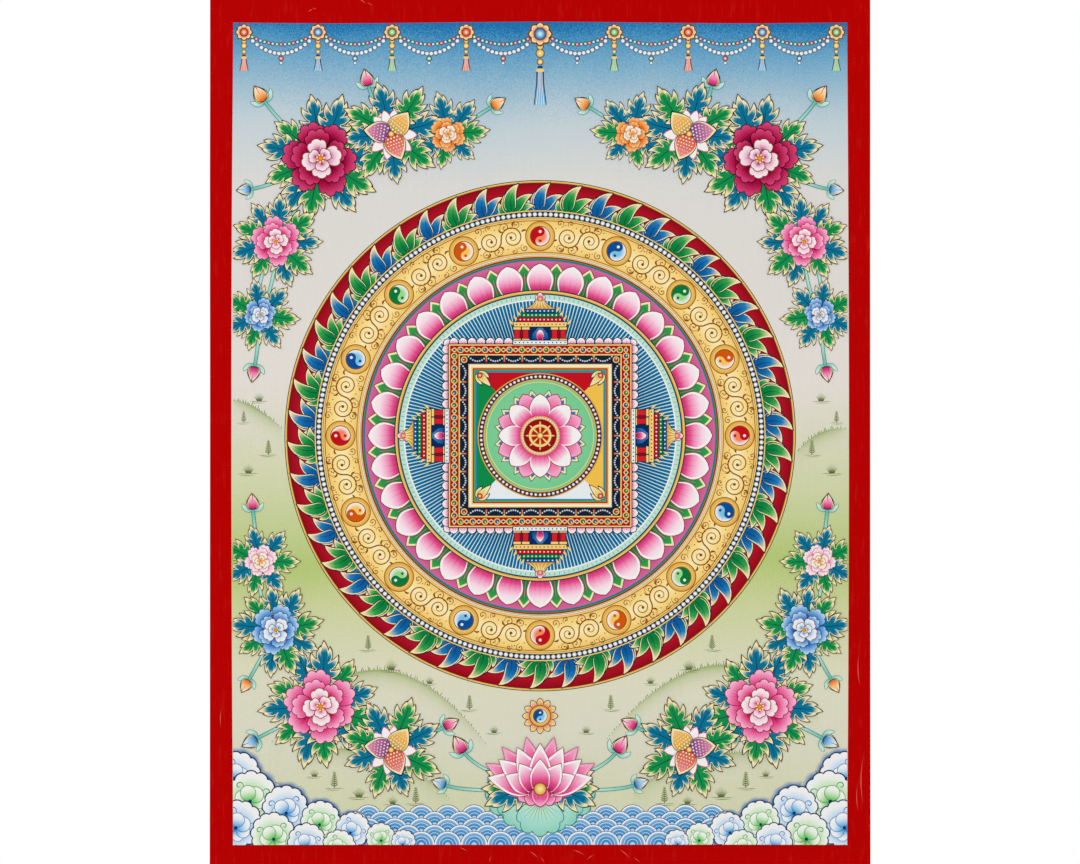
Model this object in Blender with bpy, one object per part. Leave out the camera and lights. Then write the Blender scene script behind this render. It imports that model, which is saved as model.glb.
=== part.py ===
"""Thangka: one painted cotton canvas, hanging from its top edge, with no scroll mount or rods.

The canvas is a single cut sheet. It faces -Y, its width runs along X, and it hangs down from
the origin, which is the middle of its top edge. A strip along the top, behind the painted
border, is held flat. Below it the sheet hangs free, so it is very slightly uneven, and its
lower corners curl a little towards the painted side. Units are metres.
"""

import math

import bmesh
import bpy
from mathutils import Matrix

# Driving dimensions
CANVAS_WIDTH = 0.430
CANVAS_HEIGHT = 0.5655
CANVAS_THICKNESS = 0.001
HELD_STRIP = 0.015
LOOSENING_LENGTH = 0.110
CORNER_CURL = 0.0022
CURL_SHARPNESS = 4

# The unevenness of the hanging cloth, as soft waves in the sheet:
# height in metres, waves across the width, waves down the height, shift in whole waves
SOFT_WAVES = (
    (0.00070, 0.8, 0.4, 0.10),
    (0.00045, 1.7, 1.1, 0.55),
    (0.00025, 0.6, 2.3, 0.30),
)

# Cells of the sheet, about 18 mm each way
CELLS_ACROSS = 24
CELLS_DOWN = 32

# Finish of the front of the cloth
BORDER_RED = (0.473, 0.001, 0.002, 1.0)
PAINT_ROUGHNESS = 0.85


def smooth_step(share):
    """0 below 0 and 1 above 1, with a soft start and end."""
    held = min(max(share, 0.0), 1.0)
    return held * held * (3.0 - 2.0 * held)


def cloth_depth(x, z):
    """How far the middle of the sheet lies behind the flat plane y = 0 at a point of the cloth."""
    below_strip = -z - HELD_STRIP
    looseness = smooth_step(below_strip / LOOSENING_LENGTH)
    waves = sum(
        height * math.cos(2.0 * math.pi * (across * x / CANVAS_WIDTH + down * z / CANVAS_HEIGHT + shift))
        for height, across, down, shift in SOFT_WAVES
    )
    towards_side = abs(x) / (CANVAS_WIDTH / 2.0)
    towards_hem = max(below_strip, 0.0) / (CANVAS_HEIGHT - HELD_STRIP)
    curl = CORNER_CURL * (towards_side * towards_hem) ** CURL_SHARPNESS
    return looseness * waves - curl


def paint_material():
    material = bpy.data.materials.new("painted_cotton")
    material.use_nodes = True
    shader = material.node_tree.nodes["Principled BSDF"]
    shader.inputs["Base Color"].default_value = BORDER_RED
    shader.inputs["Roughness"].default_value = PAINT_ROUGHNESS
    shader.inputs["Metallic"].default_value = 0.0
    return material


def make_canvas():
    """The whole canvas: a grid in the hanging plane, waved by cloth_depth and given its thickness."""
    cloth = bmesh.new()
    bmesh.ops.create_grid(cloth, x_segments=CELLS_ACROSS, y_segments=CELLS_DOWN, size=0.5)
    bmesh.ops.scale(cloth, vec=(CANVAS_WIDTH, CANVAS_HEIGHT, 1.0), verts=cloth.verts)
    bmesh.ops.rotate(cloth, matrix=Matrix.Rotation(math.pi / 2.0, 3, "X"), verts=cloth.verts)
    bmesh.ops.translate(cloth, vec=(0.0, 0.0, -CANVAS_HEIGHT / 2.0), verts=cloth.verts)
    for vertex in cloth.verts:
        vertex.co.y = cloth_depth(vertex.co.x, vertex.co.z)
    mesh = bpy.data.meshes.new("canvas")
    cloth.to_mesh(mesh)
    cloth.free()
    mesh.shade_smooth()
    mesh.materials.append(paint_material())
    canvas = bpy.data.objects.new("canvas", mesh)
    bpy.context.scene.collection.objects.link(canvas)
    thickness = canvas.modifiers.new("thickness", "SOLIDIFY")
    thickness.thickness = CANVAS_THICKNESS
    thickness.offset = 0.0
    return canvas


for leftover in list(bpy.data.objects):
    bpy.data.objects.remove(leftover)
make_canvas()
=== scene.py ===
"""Looks of a hanging thangka: its cotton canvas, painted border and ground, and a lotus mandala.

The sections follow the painter's order, from the bare cloth to the last flowers, and end with the
studio. Paint is drawn in millimetres: u runs right from the canvas's middle line, v runs up from
its top edge, and each coat lies one level nearer the viewer than the coat under it.
"""
import math
import random
from functools import lru_cache

import bmesh
import bpy
import numpy as np
from mathutils import Matrix, Vector


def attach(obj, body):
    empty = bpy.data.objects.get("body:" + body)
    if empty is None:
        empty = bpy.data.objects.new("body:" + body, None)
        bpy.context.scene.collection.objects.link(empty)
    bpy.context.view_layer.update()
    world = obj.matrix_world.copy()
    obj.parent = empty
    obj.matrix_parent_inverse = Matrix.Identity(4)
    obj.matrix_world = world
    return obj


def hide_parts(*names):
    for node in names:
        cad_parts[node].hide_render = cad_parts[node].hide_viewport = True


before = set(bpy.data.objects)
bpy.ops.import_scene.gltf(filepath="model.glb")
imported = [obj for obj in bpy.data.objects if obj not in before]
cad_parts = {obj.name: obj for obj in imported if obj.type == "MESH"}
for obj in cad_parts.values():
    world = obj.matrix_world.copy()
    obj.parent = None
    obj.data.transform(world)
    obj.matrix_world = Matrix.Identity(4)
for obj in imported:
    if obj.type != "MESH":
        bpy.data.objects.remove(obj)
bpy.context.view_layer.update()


# ---- Cotton canvas ----
# A cut length of plain-woven cotton, stiffened with glue and chalk and polished smooth. Its back
# stays bare: off-white threads, a little uneven, with faint marks where the size soaked in.
CANVAS_WIDTH = 0.430
CANVAS_HEIGHT = 0.5655
CANVAS_THICKNESS = 0.001
CANVAS_CELL = 0.0068
HELD_STRIP = 0.015
LOOSENING_LENGTH = 0.110
CORNER_CURL = 0.0022
CURL_SHARPNESS = 4
# height in metres, waves across the width, waves down the height, shift in whole waves
SOFT_WAVES = (
    (0.00070, 0.8, 0.4, 0.10),
    (0.00045, 1.7, 1.1, 0.55),
    (0.00025, 0.6, 2.3, 0.30),
)
COTTON = "E7DFCD"
# colour of the painted shade between the cotton's threads
COTTON_PAINTED_SHADE = "CDBF9F"
COTTON_ROUGHNESS = 0.92
SIZE_STAIN = "D9CCAE"
# Threads are about 0.45 mm apart. They are drawn twice as coarse, so that a render shows them.
THREAD_SPACING = 0.0009
THREAD_RELIEF = 0.00012
THREAD_BUMP = 0.7
THREAD_WAVER = 1.2
THREAD_WAVER_SCALE = 0.12
SLUB_WIDTH = 0.0022
SLUB_LENGTH = 0.030
STAIN_WIDTH = 0.070
STAIN_STRENGTH = 0.45
# how strongly the painted shade darkens the cotton between its threads
PAINTED_GAP_SHADE_STRENGTH = 0.75
# A wave texture has 20 radians of wave for each unit of its scale.
WAVE_RADIANS = 20.0


@lru_cache(None)
def linear(code):
    """The linear colour of an sRGB hex code."""
    shares = [int(code[at : at + 2], 16) / 255 for at in (0, 2, 4)]
    curved = [s / 12.92 if s <= 0.04045 else ((s + 0.055) / 1.055) ** 2.4 for s in shares]
    return (*curved, 1.0)


def add_node(tree, kind, inputs, output=0, **settings):
    """Adds a node with its settings, sets or links its inputs, and returns one of its outputs."""
    node = tree.nodes.new("ShaderNode" + kind)
    for name, value in settings.items():
        setattr(node, name, value)
    for name, value in inputs.items():
        if isinstance(value, bpy.types.NodeSocket):
            tree.links.new(value, node.inputs[name])
        else:
            node.inputs[name].default_value = value
    return node.outputs[output]


def object_place(tree, stretch=(1.0, 1.0, 1.0)):
    """Object coordinates in metres, stretched."""
    place = add_node(tree, "TexCoord", {}, "Object")
    return add_node(tree, "Mapping", {"Vector": place, "Scale": stretch})


def weave(tree):
    """Height of a plain weave, from -0.25 to 0.25: the threads pass over and under by turns."""
    scale = math.pi / (WAVE_RADIANS * THREAD_SPACING)
    threads = []
    for direction in ("X", "Z"):
        facts = {"Vector": object_place(tree), "Scale": scale}
        facts |= {"Distortion": THREAD_WAVER, "Detail Scale": THREAD_WAVER_SCALE}
        band = add_node(tree, "TexWave", facts, "Fac", bands_direction=direction)
        threads.append(add_node(tree, "Math", {0: band, 1: 0.5}, operation="SUBTRACT"))
    return add_node(tree, "Math", dict(enumerate(threads)), operation="MULTIPLY")


def slubs(tree):
    """Thick and thin yarn: noise drawn out along the threads, from about 0 to 1."""
    yarns = []
    for across, along, detail, strength in (
        (SLUB_WIDTH, SLUB_LENGTH, 3.0, 0.7),
        (SLUB_LENGTH, SLUB_WIDTH, 2.0, 0.3),
    ):
        place = object_place(tree, (1 / across, 1.0, 1 / along))
        noise = add_node(tree, "TexNoise", {"Vector": place, "Scale": 1.0, "Detail": detail}, "Fac")
        yarns.append(add_node(tree, "Math", {0: noise, 1: strength}, operation="MULTIPLY"))
    return add_node(tree, "Math", dict(enumerate(yarns)), operation="ADD")


def shade(tree, colour, share, darkest, lightest):
    """Multiplies a colour by a grey, which rises from darkest to lightest with a noise."""
    grey = add_node(tree, "MapRange", {0: share, 1: 0.3, 2: 0.7, 3: darkest, 4: lightest})
    facts = {0: 1.0, 6: colour, 7: grey}
    return add_node(tree, "Mix", facts, 2, data_type="RGBA", blend_type="MULTIPLY")


def new_material(name):
    material = bpy.data.materials.new(name)
    material.use_nodes = True
    return material, material.node_tree


def set_surface(tree, colour, sockets, height=None, strength=0.0, relief=0.0):
    """Links the shader's colour, sets plain numbers on its sockets, and bumps it by a height."""
    shader = tree.nodes["Principled BSDF"]
    tree.links.new(colour, shader.inputs["Base Color"])
    for name, value in sockets.items():
        shader.inputs[name].default_value = value
    if height:
        bump = add_node(tree, "Bump", {"Height": height, "Strength": strength, "Distance": relief})
        tree.links.new(bump, shader.inputs["Normal"])


def add_object(name, form, material):
    """Turns a bmesh into an object of the scene."""
    for face in form.faces:
        face.smooth = True
    mesh = bpy.data.meshes.new(name)
    form.to_mesh(mesh)
    form.free()
    mesh.materials.append(material)
    made = bpy.data.objects.new(name, mesh)
    bpy.context.scene.collection.objects.link(made)
    return made


def cloth_depth(x, z):
    """How far the middle of the cloth's thickness lies behind the plane of its top edge."""
    below_strip = -z - HELD_STRIP
    loose = np.clip(below_strip / LOOSENING_LENGTH, 0.0, 1.0)
    waves = sum(
        height * np.cos(2.0 * math.pi * (across * x / CANVAS_WIDTH + down * z / CANVAS_HEIGHT + shift))
        for height, across, down, shift in SOFT_WAVES
    )
    towards_side = np.abs(x) / (CANVAS_WIDTH / 2.0)
    towards_hem = np.maximum(below_strip, 0.0) / (CANVAS_HEIGHT - HELD_STRIP)
    curl = CORNER_CURL * (towards_side * towards_hem) ** CURL_SHARPNESS
    return loose * loose * (3.0 - 2.0 * loose) * waves - curl


# Unbleached cotton is matt, and stained where the size soaked in; painted shade darkens it between its
# threads.
cotton, tree = new_material("raw_cotton")
threads = weave(tree)
facts = {"Vector": object_place(tree), "Scale": 1 / STAIN_WIDTH, "Detail": 4.0}
stain = add_node(tree, "TexNoise", facts, "Fac")
soaked = add_node(tree, "MapRange", {0: stain, 1: 0.52, 2: 0.70, 4: STAIN_STRENGTH})
facts = {0: soaked, 6: linear(COTTON), 7: linear(SIZE_STAIN)}
cloth = add_node(tree, "Mix", facts, 2, data_type="RGBA")
# Painted shade: the cotton is darkened where the weave lies low, between the threads.
painted_gap_shade = add_node(tree, "MapRange", {0: threads, 1: 0.12, 2: -0.22, 4: PAINTED_GAP_SHADE_STRENGTH})
cloth = add_node(tree, "Mix", {0: painted_gap_shade, 6: cloth, 7: linear(COTTON_PAINTED_SHADE)}, 2, data_type="RGBA")
cloth = shade(tree, cloth, slubs(tree), darkest=0.90, lightest=1.04)
sockets = {"Roughness": COTTON_ROUGHNESS, "Sheen Weight": 0.15, "Sheen Roughness": 0.5}
set_surface(tree, cloth, sockets, threads, THREAD_BUMP, THREAD_RELIEF)

upright = Matrix.Translation((0.0, 0.0, -CANVAS_HEIGHT / 2.0)) @ Matrix.Rotation(math.pi / 2, 4, "X")
sheet = bmesh.new()
bmesh.ops.create_grid(
    sheet,
    x_segments=round(CANVAS_WIDTH / CANVAS_CELL),
    y_segments=round(CANVAS_HEIGHT / CANVAS_CELL),
    size=0.5,
    matrix=upright @ Matrix.Diagonal((CANVAS_WIDTH, CANVAS_HEIGHT, 1.0, 1.0)),
)
for point in sheet.verts:
    point.co.y = cloth_depth(point.co.x, point.co.z)
canvas_cloth = add_object("canvas_cloth", sheet, cotton)
solid = canvas_cloth.modifiers.new("cloth_thickness", "SOLIDIFY")
solid.thickness = CANVAS_THICKNESS
solid.offset = 0.0
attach(canvas_cloth, "root")
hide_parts("canvas")


# ---- Red painted border ----
# Cinnabar-red distemper, brushed on the margin of the same cloth, with no cloth border sewn round it.
# It is matt, shows the threads faintly, and has pale scratches where the canvas was handled.
CINNABAR = "B80101"
CINNABAR_WORN = "C4211B"
WORN_STRENGTH = 0.55
SCRATCH_PINK = "DE6F5E"
PAINT_ROUGHNESS = 0.85
PAINT_SPECULAR = 0.02
PAINT_TOOTH = 0.00005
TOOTH_STRENGTH = 0.35
UV_MARGIN = 0.004
COAT = 0.000012
# A longer edge would cut through the waves of the cloth.
LONGEST_EDGE = 9.5
BORDER_CELL = 7.0
BORDER_OVERLAP = 4.0
# The picture's edges were ruled by hand, so they bow outwards a little.
PICTURE_HALF = 199.9
PICTURE_TOP = -15.4
PICTURE_FOOT = -550.9
SIDE_BOW = 1.2
TOP_BOW = 0.5
# u, v, length, direction in degrees and width of each scratch
SCRATCHES = (
    (-116.0, -1.5, 7.0, -38.0, 0.45), (-111.0, -3.5, 5.0, -32.0, 0.35), (-149.5, -7.5, 4.0, 30.0, 0.45),
    (-147.0, -6.4, 3.0, -20.0, 0.35), (-50.0, -554.0, 6.0, -28.0, 0.40), (-32.5, -560.5, 4.5, 80.0, 0.35),
    (-4.0, -557.5, 8.0, -40.0, 0.45), (1.5, -561.0, 5.0, -55.0, 0.35), (25.0, -556.0, 9.0, -24.0, 0.45),
    (33.0, -559.0, 7.0, 35.0, 0.35), (55.0, -557.0, 10.0, -42.0, 0.45), (63.0, -561.0, 6.0, -38.0, 0.35),
    (-207.5, -468.0, 14.0, 88.0, 0.40), (208.0, -437.0, 22.0, 92.0, 0.55),
    (210.5, -508.0, 34.0, 89.0, 0.60), (207.0, -520.0, 20.0, 91.0, 0.40),
)


def finish_paint(tree, colour, darkest, lightest):
    """Matt glue-bound paint over the weave: slubs shade it and the cloth's tooth shows through."""
    sockets = {"Roughness": PAINT_ROUGHNESS, "Specular IOR Level": PAINT_SPECULAR}
    shaded = shade(tree, colour, slubs(tree), darkest, lightest)
    set_surface(tree, shaded, sockets, weave(tree), TOOTH_STRENGTH, PAINT_TOOTH)


# Cinnabar distemper is an even deep red, a little paler where it has rubbed on the threads.
cinnabar, tree = new_material("cinnabar_distemper")
facts = {"Vector": object_place(tree, (420.0, 1.0, 60.0)), "Scale": 1.0, "Detail": 5.0}
rubbed = add_node(tree, "TexNoise", facts, "Fac")
worn = add_node(tree, "MapRange", {0: rubbed, 1: 0.56, 2: 0.80, 4: WORN_STRENGTH})
facts = {0: worn, 6: linear(CINNABAR), 7: linear(CINNABAR_WORN)}
red = add_node(tree, "Mix", facts, 2, data_type="RGBA")
finish_paint(tree, red, darkest=0.955, lightest=1.035)

# Mineral pigments in glue are laid flat, shaded with a damp brush and outlined. Each shape carries
# its own pigment, as a colour on its points.
pigments, tree = new_material("mineral_distemper")
pigment = add_node(tree, "Attribute", {}, "Color", attribute_name="pigment")
finish_paint(tree, pigment, darkest=0.975, lightest=1.02)


def new_coat():
    """An empty layer of paint, whose points carry a pigment."""
    paint = bmesh.new()
    paint.verts.layers.float_color.new("pigment")
    return paint


def mixed(first, second, share):
    """Two linear colours, mixed."""
    return [a + (b - a) * share for a, b in zip(first, second)]


def blend(stops, share):
    """The linear colour at a share of the way along hex pigments."""
    place = min(max(share, 0.0), 1.0) * (len(stops) - 1)
    low = max(min(int(place), len(stops) - 2), 0)
    return mixed(linear(stops[low]), linear(stops[min(low + 1, len(stops) - 1)]), place - low)


def tint(paint, points, pigment):
    """Gives points a pigment: one hex code, or a function of u and v that gives a linear colour."""
    layer = paint.verts.layers.float_color["pigment"]
    flat = linear(pigment) if isinstance(pigment, str) else None
    for point in points:
        point[layer] = flat or pigment(point.co.x, point.co.y)


def stretched_grid(paint, left, right, foot, top, cell):
    """A grid over a rectangle, with cells no wider than cell. Returns its points."""
    middle = ((left + right) / 2, (foot + top) / 2, 0.0)
    return bmesh.ops.create_grid(
        paint,
        x_segments=math.ceil((right - left) / cell),
        y_segments=math.ceil((top - foot) / cell),
        size=0.5,
        matrix=Matrix.Translation(middle) @ Matrix.Diagonal((right - left, top - foot, 1.0, 1.0)),
    )["verts"]


def stroke(paint, path, widths, level, stops):
    """A brush stroke along path: its width at each point, and hex pigments spread along it."""
    layer = paint.verts.layers.float_color["pigment"]
    last = len(path) - 1
    for point in stretched_grid(paint, 0, last, 0, 1, 1.0):
        at = round(point.co.x)
        run = Vector(path[min(at + 1, last)]) - Vector(path[max(at - 1, 0)])
        side = Vector((-run.y, run.x)).normalized() * widths[at] * (point.co.y - 0.5)
        point.co = (path[at][0] + side.x, path[at][1] + side.y, level)
        point[layer] = blend(stops, at / last)


def finish_coat(name, paint, material=pigments):
    """Lays a coat on the hanging cloth, and makes it a piece."""
    many_sided = [face for face in paint.faces if len(face.verts) > 4]
    bmesh.ops.triangulate(paint, faces=many_sided)
    while long_edges := [edge for edge in paint.edges if edge.calc_length() > LONGEST_EDGE]:
        bmesh.ops.subdivide_edges(paint, edges=long_edges, cuts=1, use_grid_fill=True)
    for face in paint.faces:
        face.normal_update()
        if face.normal.z < 0:
            face.normal_flip()
    paint.faces.sort(key=lambda face: face.verts[0].co.z)
    piece = add_object(name, paint, material)
    mesh = piece.data
    places = np.empty(len(mesh.vertices) * 3)
    mesh.vertices.foreach_get("co", places)
    u, v, level = places.reshape(-1, 3).T
    x, z = u / 1000, v / 1000
    y = cloth_depth(x, z) - CANVAS_THICKNESS / 2 - COAT * (level + 1)
    mesh.vertices.foreach_set("co", np.stack([x, y, z], 1).ravel())
    corners = np.empty(len(mesh.loops), int)
    mesh.loops.foreach_get("vertex_index", corners)
    flat = np.stack([u, v], 1)
    spread = (flat - flat.min(0)) / np.ptp(flat, axis=0)
    spread = UV_MARGIN + (1 - 2 * UV_MARGIN) * spread
    layer = mesh.uv_layers.new(name="OFBake")
    layer.uv.foreach_set("vector", spread[corners].astype(np.float32).ravel())
    mesh.update()
    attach(piece, "root")
    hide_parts("canvas")


border = new_coat()
sheet_half, sheet_foot = CANVAS_WIDTH * 500, -CANVAS_HEIGHT * 1000
inner = PICTURE_HALF - BORDER_OVERLAP
top, foot = PICTURE_TOP - BORDER_OVERLAP, PICTURE_FOOT + BORDER_OVERLAP
for left, right, low, high in (
    (-sheet_half, sheet_half, top, 0.0),
    (-sheet_half, sheet_half, sheet_foot, foot),
    (-sheet_half, -inner, foot, top),
    (inner, sheet_half, foot, top),
):
    stretched_grid(border, left, right, low, high, BORDER_CELL)
bmesh.ops.remove_doubles(border, verts=border.verts, dist=0.01)
finish_coat("red_border", border, cinnabar)

scratches = new_coat()
for u, v, length, degrees, width in SCRATCHES:
    way = Vector((math.cos(math.radians(degrees)), math.sin(math.radians(degrees))))
    bend = Vector((-way.y, way.x)) * length * 0.05
    shares = (-0.5, -0.3, -0.1, 0.1, 0.3, 0.5)
    path = [Vector((u, v)) + way * length * s + bend * math.sin(math.pi * (s + 0.5)) for s in shares]
    widths = [0.05, width * 0.7, width, width * 0.8, width * 0.5, 0.05]
    stroke(scratches, path, widths, 1, [CINNABAR_WORN, SCRATCH_PINK, CINNABAR_WORN])
finish_coat("border_scratches", scratches)


# ---- Ground of the picture ----
# Thin washes over the white priming: azurite sky stippled down into a pale warm mist, then meadow
# greens, dotted on with the tip of the brush so that the colour looks grainy where it changes.
GROUND_CELL = 6.5
# share of the picture's height from its foot, and the wash there
GROUND_WASHES = (
    (0.00, "CFD4A8"), (0.13, "DCDBC6"), (0.21, "DEDDC3"), (0.29, "CED59F"), (0.345, "B5C976"),
    (0.44, "D2D7AC"), (0.56, "E5DFD7"), (0.80, "DEDCD7"), (0.88, "C4D3D9"), (0.945, "84B3CE"),
    (0.98, "4F98C3"), (1.00, "1B70AC"),
)
# A brush tip makes dots of about 0.5 mm. They are drawn a little larger, so that a render shows them.
STIPPLE = 0.0007
STIPPLE_REACH = 0.035
# The washes' edges also wander, over about 110 mm.
DRIFT = 1 / 9
DRIFT_REACH = 0.025


def ground_wash(v):
    """The linear colour of the ground at height v."""
    share = (v - PICTURE_FOOT) / (PICTURE_TOP - PICTURE_FOOT)
    washes = zip(GROUND_WASHES, GROUND_WASHES[1:])
    (low, low_code), (high, high_code) = next(pair for pair in washes if share < pair[1][0])
    return mixed(linear(low_code), linear(high_code), max(share - low, 0.0) / (high - low))


# Each wash is matt, and grainy where it turns into the next.
stippled, tree = new_material("stippled_ground")
height = add_node(tree, "SeparateXYZ", {0: object_place(tree)}, "Z")
height = add_node(tree, "MapRange", {0: height, 1: PICTURE_FOOT / 1000, 2: PICTURE_TOP / 1000})
for width, detail, reach in ((STIPPLE, 1.0, STIPPLE_REACH), (DRIFT, 2.0, DRIFT_REACH)):
    facts = {"Vector": object_place(tree), "Scale": 1 / width, "Detail": detail}
    noise = add_node(tree, "TexNoise", facts, "Fac")
    shift = add_node(tree, "MapRange", {0: noise, 3: -reach, 4: reach})
    height = add_node(tree, "Math", {0: height, 1: shift}, operation="ADD")
washes = add_node(tree, "ValToRGB", {0: height})
stops = washes.node.color_ramp.elements
while len(stops) < len(GROUND_WASHES):
    stops.new(0.5)
for stop, (share, code) in zip(stops, GROUND_WASHES):
    stop.position = share
    stop.color = linear(code)
finish_paint(tree, washes, darkest=0.982, lightest=1.012)

ground = new_coat()
for point in stretched_grid(
    ground, -PICTURE_HALF, PICTURE_HALF, PICTURE_FOOT, PICTURE_TOP, GROUND_CELL
):
    across = point.co.x / PICTURE_HALF
    up = (point.co.y - PICTURE_FOOT) / (PICTURE_TOP - PICTURE_FOOT)
    point.co.x += across * SIDE_BOW * math.sin(math.pi * min(max(up, 0.0), 1.0))
    if point.co.y > PICTURE_TOP - 0.1:
        point.co.y += TOP_BOW * math.cos(across * math.pi * 1.5)
    point.co.z = 2
finish_coat("picture_ground", ground, stippled)


# ---- Leaf-tongue ring ----
# The mandala's outermost ring: fifty leaf tongues that all curl one way, azurite and malachite by
# turns, shaded to cream at the tips and outlined in blue-black ink, on a wash of lac red.
INK = "152238"
CREAM = "F9E6B0"
WHITE = "F6F3F1"
AZURITE = "0C5C9E"
AZURITE_MID = "2485C0"
MALACHITE = "06803C"
MALACHITE_MID = "3DA955"
GOLD = "F5D27A"
GOLD_DEEP = "DFA43A"
LAC = "8E0C1A"
LAC_LIGHT = "C2142A"
INK_LINE = 0.46
CREAM_LINE = 0.45
CENTRE = (0.0, -284.5)
MANDALA_RADIUS = 166.5
TONGUE_FOOT = 146.5
TONGUES = 50
TONGUE_COATS = 10
TONGUE_VEIN = (0.5, 0.5, 0.45, 0.45, 0.4, 0.35, 0.3, 0.2, 0.05)
RIM_GOLD = 1.1
RIM_LEVEL = 4
RING_SIDES = 192
DISC_STEP = 8.0
# foot, direction in degrees, length, width, bend in degrees and level of each lobe of a tongue
TONGUE_LOBES = (
    ((-3.0, -0.5), -64.0, 9.5, 5.6, 66.0, 0),
    ((3.5, -0.8), 44.0, 12.5, 5.6, 58.0, 0),
    ((-1.0, 0.0), -34.0, 14.0, 6.4, 60.0, 3),
    ((2.2, 0.0), 20.0, 17.0, 6.4, 62.0, 3),
    ((0.0, 0.0), -18.0, 20.5, 8.2, 76.0, 6),
)


def draw_motif(draw, *facts):
    """Draws a motif once, as a mesh that stamp() repeats."""
    paint = new_coat()
    draw(paint, *facts)
    bmesh.ops.remove_doubles(paint, verts=paint.verts, dist=0.0005)
    mesh = bpy.data.meshes.new("motif")
    paint.to_mesh(mesh)
    paint.free()
    return mesh


def stamp(paint, motif, place, level, degrees=0.0, size=1.0, mirror=False):
    """Repeats a motif at a place: scaled, turned clockwise by degrees, and raised by level coats."""
    copy = motif.copy()
    copy.transform(
        Matrix.Translation((*place, level))
        @ Matrix.Rotation(-math.radians(degrees), 4, "Z")
        @ Matrix.Diagonal((-size if mirror else size, size, 1.0, 1.0))
    )
    paint.from_mesh(copy)
    bpy.data.meshes.remove(copy)


def towards(degrees, reach, start=(0.0, 0.0)):
    """The point at a distance from start in the direction degrees, clockwise from up."""
    turn = math.radians(degrees)
    return start[0] + reach * math.sin(turn), start[1] + reach * math.cos(turn)


def around(paint, motif, radius, count, level, first=0.0, middle=CENTRE):
    """Repeats a motif round a circle, with its foot on the circle and its tip outwards."""
    for number in range(count):
        degrees = first + 360.0 * number / count
        stamp(paint, motif, towards(degrees, radius, middle), level, degrees)


def disc(paint, radius, level, stops, sides=24, hole=0.0, middle=(0.0, 0.0)):
    """A disc, or a ring round a hole, with hex pigments spread from its middle to its rim."""
    u, v = middle
    layer = paint.verts.layers.float_color["pigment"]
    steps = max(len(stops) - 1, math.ceil((radius - hole) / DISC_STEP))
    profile = []
    for step in range(steps + 1):
        point = paint.verts.new((u + hole + (radius - hole) * step / steps, v, level))
        point[layer] = blend(stops, step / steps)
        profile.append(point)
    edges = [paint.edges.new(pair) for pair in zip(profile, profile[1:])]
    bmesh.ops.spin(paint, geom=profile + edges, cent=(u, v, level), axis=(0, 0, 1),
                   angle=2 * math.pi, steps=sides, use_merge=True)


def hoop(paint, outer, inner, level, stops, sides=RING_SIDES):
    """A ring of paint round the mandala's middle."""
    disc(paint, outer, level, stops, sides, inner, CENTRE)


def bent_path(foot, degrees, length, bend, steps=8):
    """Points from foot in the direction degrees, clockwise from up, which turns by bend on the way."""
    path = [tuple(foot)]
    for step in range(steps):
        path.append(towards(degrees + bend * (step + 0.5) / steps, length / steps, path[-1]))
    return path


def lobe_widths(width, fullest=0.62, steps=8):
    """Widths along a pointed lobe, which is fullest near its foot."""
    swell = [math.sin(math.pi * (step / steps) ** fullest) for step in range(steps + 1)]
    return [width * max(share, 0.0) ** 0.85 for share in swell]


def lobe(paint, foot, degrees, length, width, bend, level, stops, fullest=0.62):
    """A pointed lobe: ink, a cream edge over it, and its own pigment, which stops short of the tip."""
    ink = bent_path(towards(degrees, -INK_LINE, foot), degrees, length + INK_LINE * 3.2, bend)
    stroke(paint, ink, lobe_widths(width + 2 * INK_LINE, fullest), level, [INK])
    edge = bent_path(foot, degrees, length, bend)
    stroke(paint, edge, lobe_widths(width, fullest), level + 1, [CREAM])
    body = bent_path(foot, degrees, length * 0.9, bend * 0.9)
    stroke(paint, body, lobe_widths(width - 2 * CREAM_LINE, fullest), level + 2, stops)


def draw_tongue(paint, deep, mid):
    """Five lobes that lean over to the right, the tallest last, with a vein."""
    for foot, degrees, length, width, bend, level in TONGUE_LOBES:
        lobe(paint, foot, degrees, length, width, bend, level, [deep, deep, mid, CREAM])
    vein = bent_path((0.2, 1.0), -14.0, 14.0, 54.0)
    stroke(paint, vein, TONGUE_VEIN, 9, [INK, deep])


ring = new_coat()
hoop(ring, MANDALA_RADIUS, MANDALA_RADIUS - RIM_GOLD * 2, RIM_LEVEL, [INK])
hoop(ring, MANDALA_RADIUS - 0.5, MANDALA_RADIUS - RIM_GOLD - 0.5, RIM_LEVEL + 1, [GOLD_DEEP, GOLD])
hoop(ring, MANDALA_RADIUS - RIM_GOLD - 0.8, TONGUE_FOOT, RIM_LEVEL + 1, [LAC, LAC_LIGHT, LAC])
for shift, (deep, mid) in enumerate(((AZURITE, AZURITE_MID), (MALACHITE, MALACHITE_MID))):
    tongue = draw_motif(draw_tongue, deep, mid)
    level = RIM_LEVEL + 3 + TONGUE_COATS * shift
    around(ring, tongue, TONGUE_FOOT, TONGUES // 2, level, 360.0 / TONGUES * shift)
finish_coat("leaf_tongue_ring", ring)


# ---- Pearl ring ----
# A string of pearls between two gold lines, dotted on blue-black with thick shell white, each
# pearl shaded on its rim.
PEARL_RING = 144.2
PEARL_BAND = 2.6
PEARL_RADIUS = 1.45
PEARL_PITCH = 3.45
PEARL_LEVEL = 31
PEARL_SHADE = "93A9BC"


def draw_pearl(paint, radius):
    disc(paint, radius, 0, [WHITE, WHITE, PEARL_SHADE], 14)


ring = new_coat()
for line, coat, code in ((0.0, 0, GOLD), (0.7, 1, INK)):
    outer, inner = PEARL_RING + PEARL_BAND - line, PEARL_RING - PEARL_BAND + line
    hoop(ring, outer, inner, PEARL_LEVEL + coat, [code])
pearls = round(2 * math.pi * PEARL_RING / PEARL_PITCH)
around(ring, draw_motif(draw_pearl, PEARL_RADIUS), PEARL_RING, pearls, PEARL_LEVEL + 2)
finish_coat("pearl_ring", ring)


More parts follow.
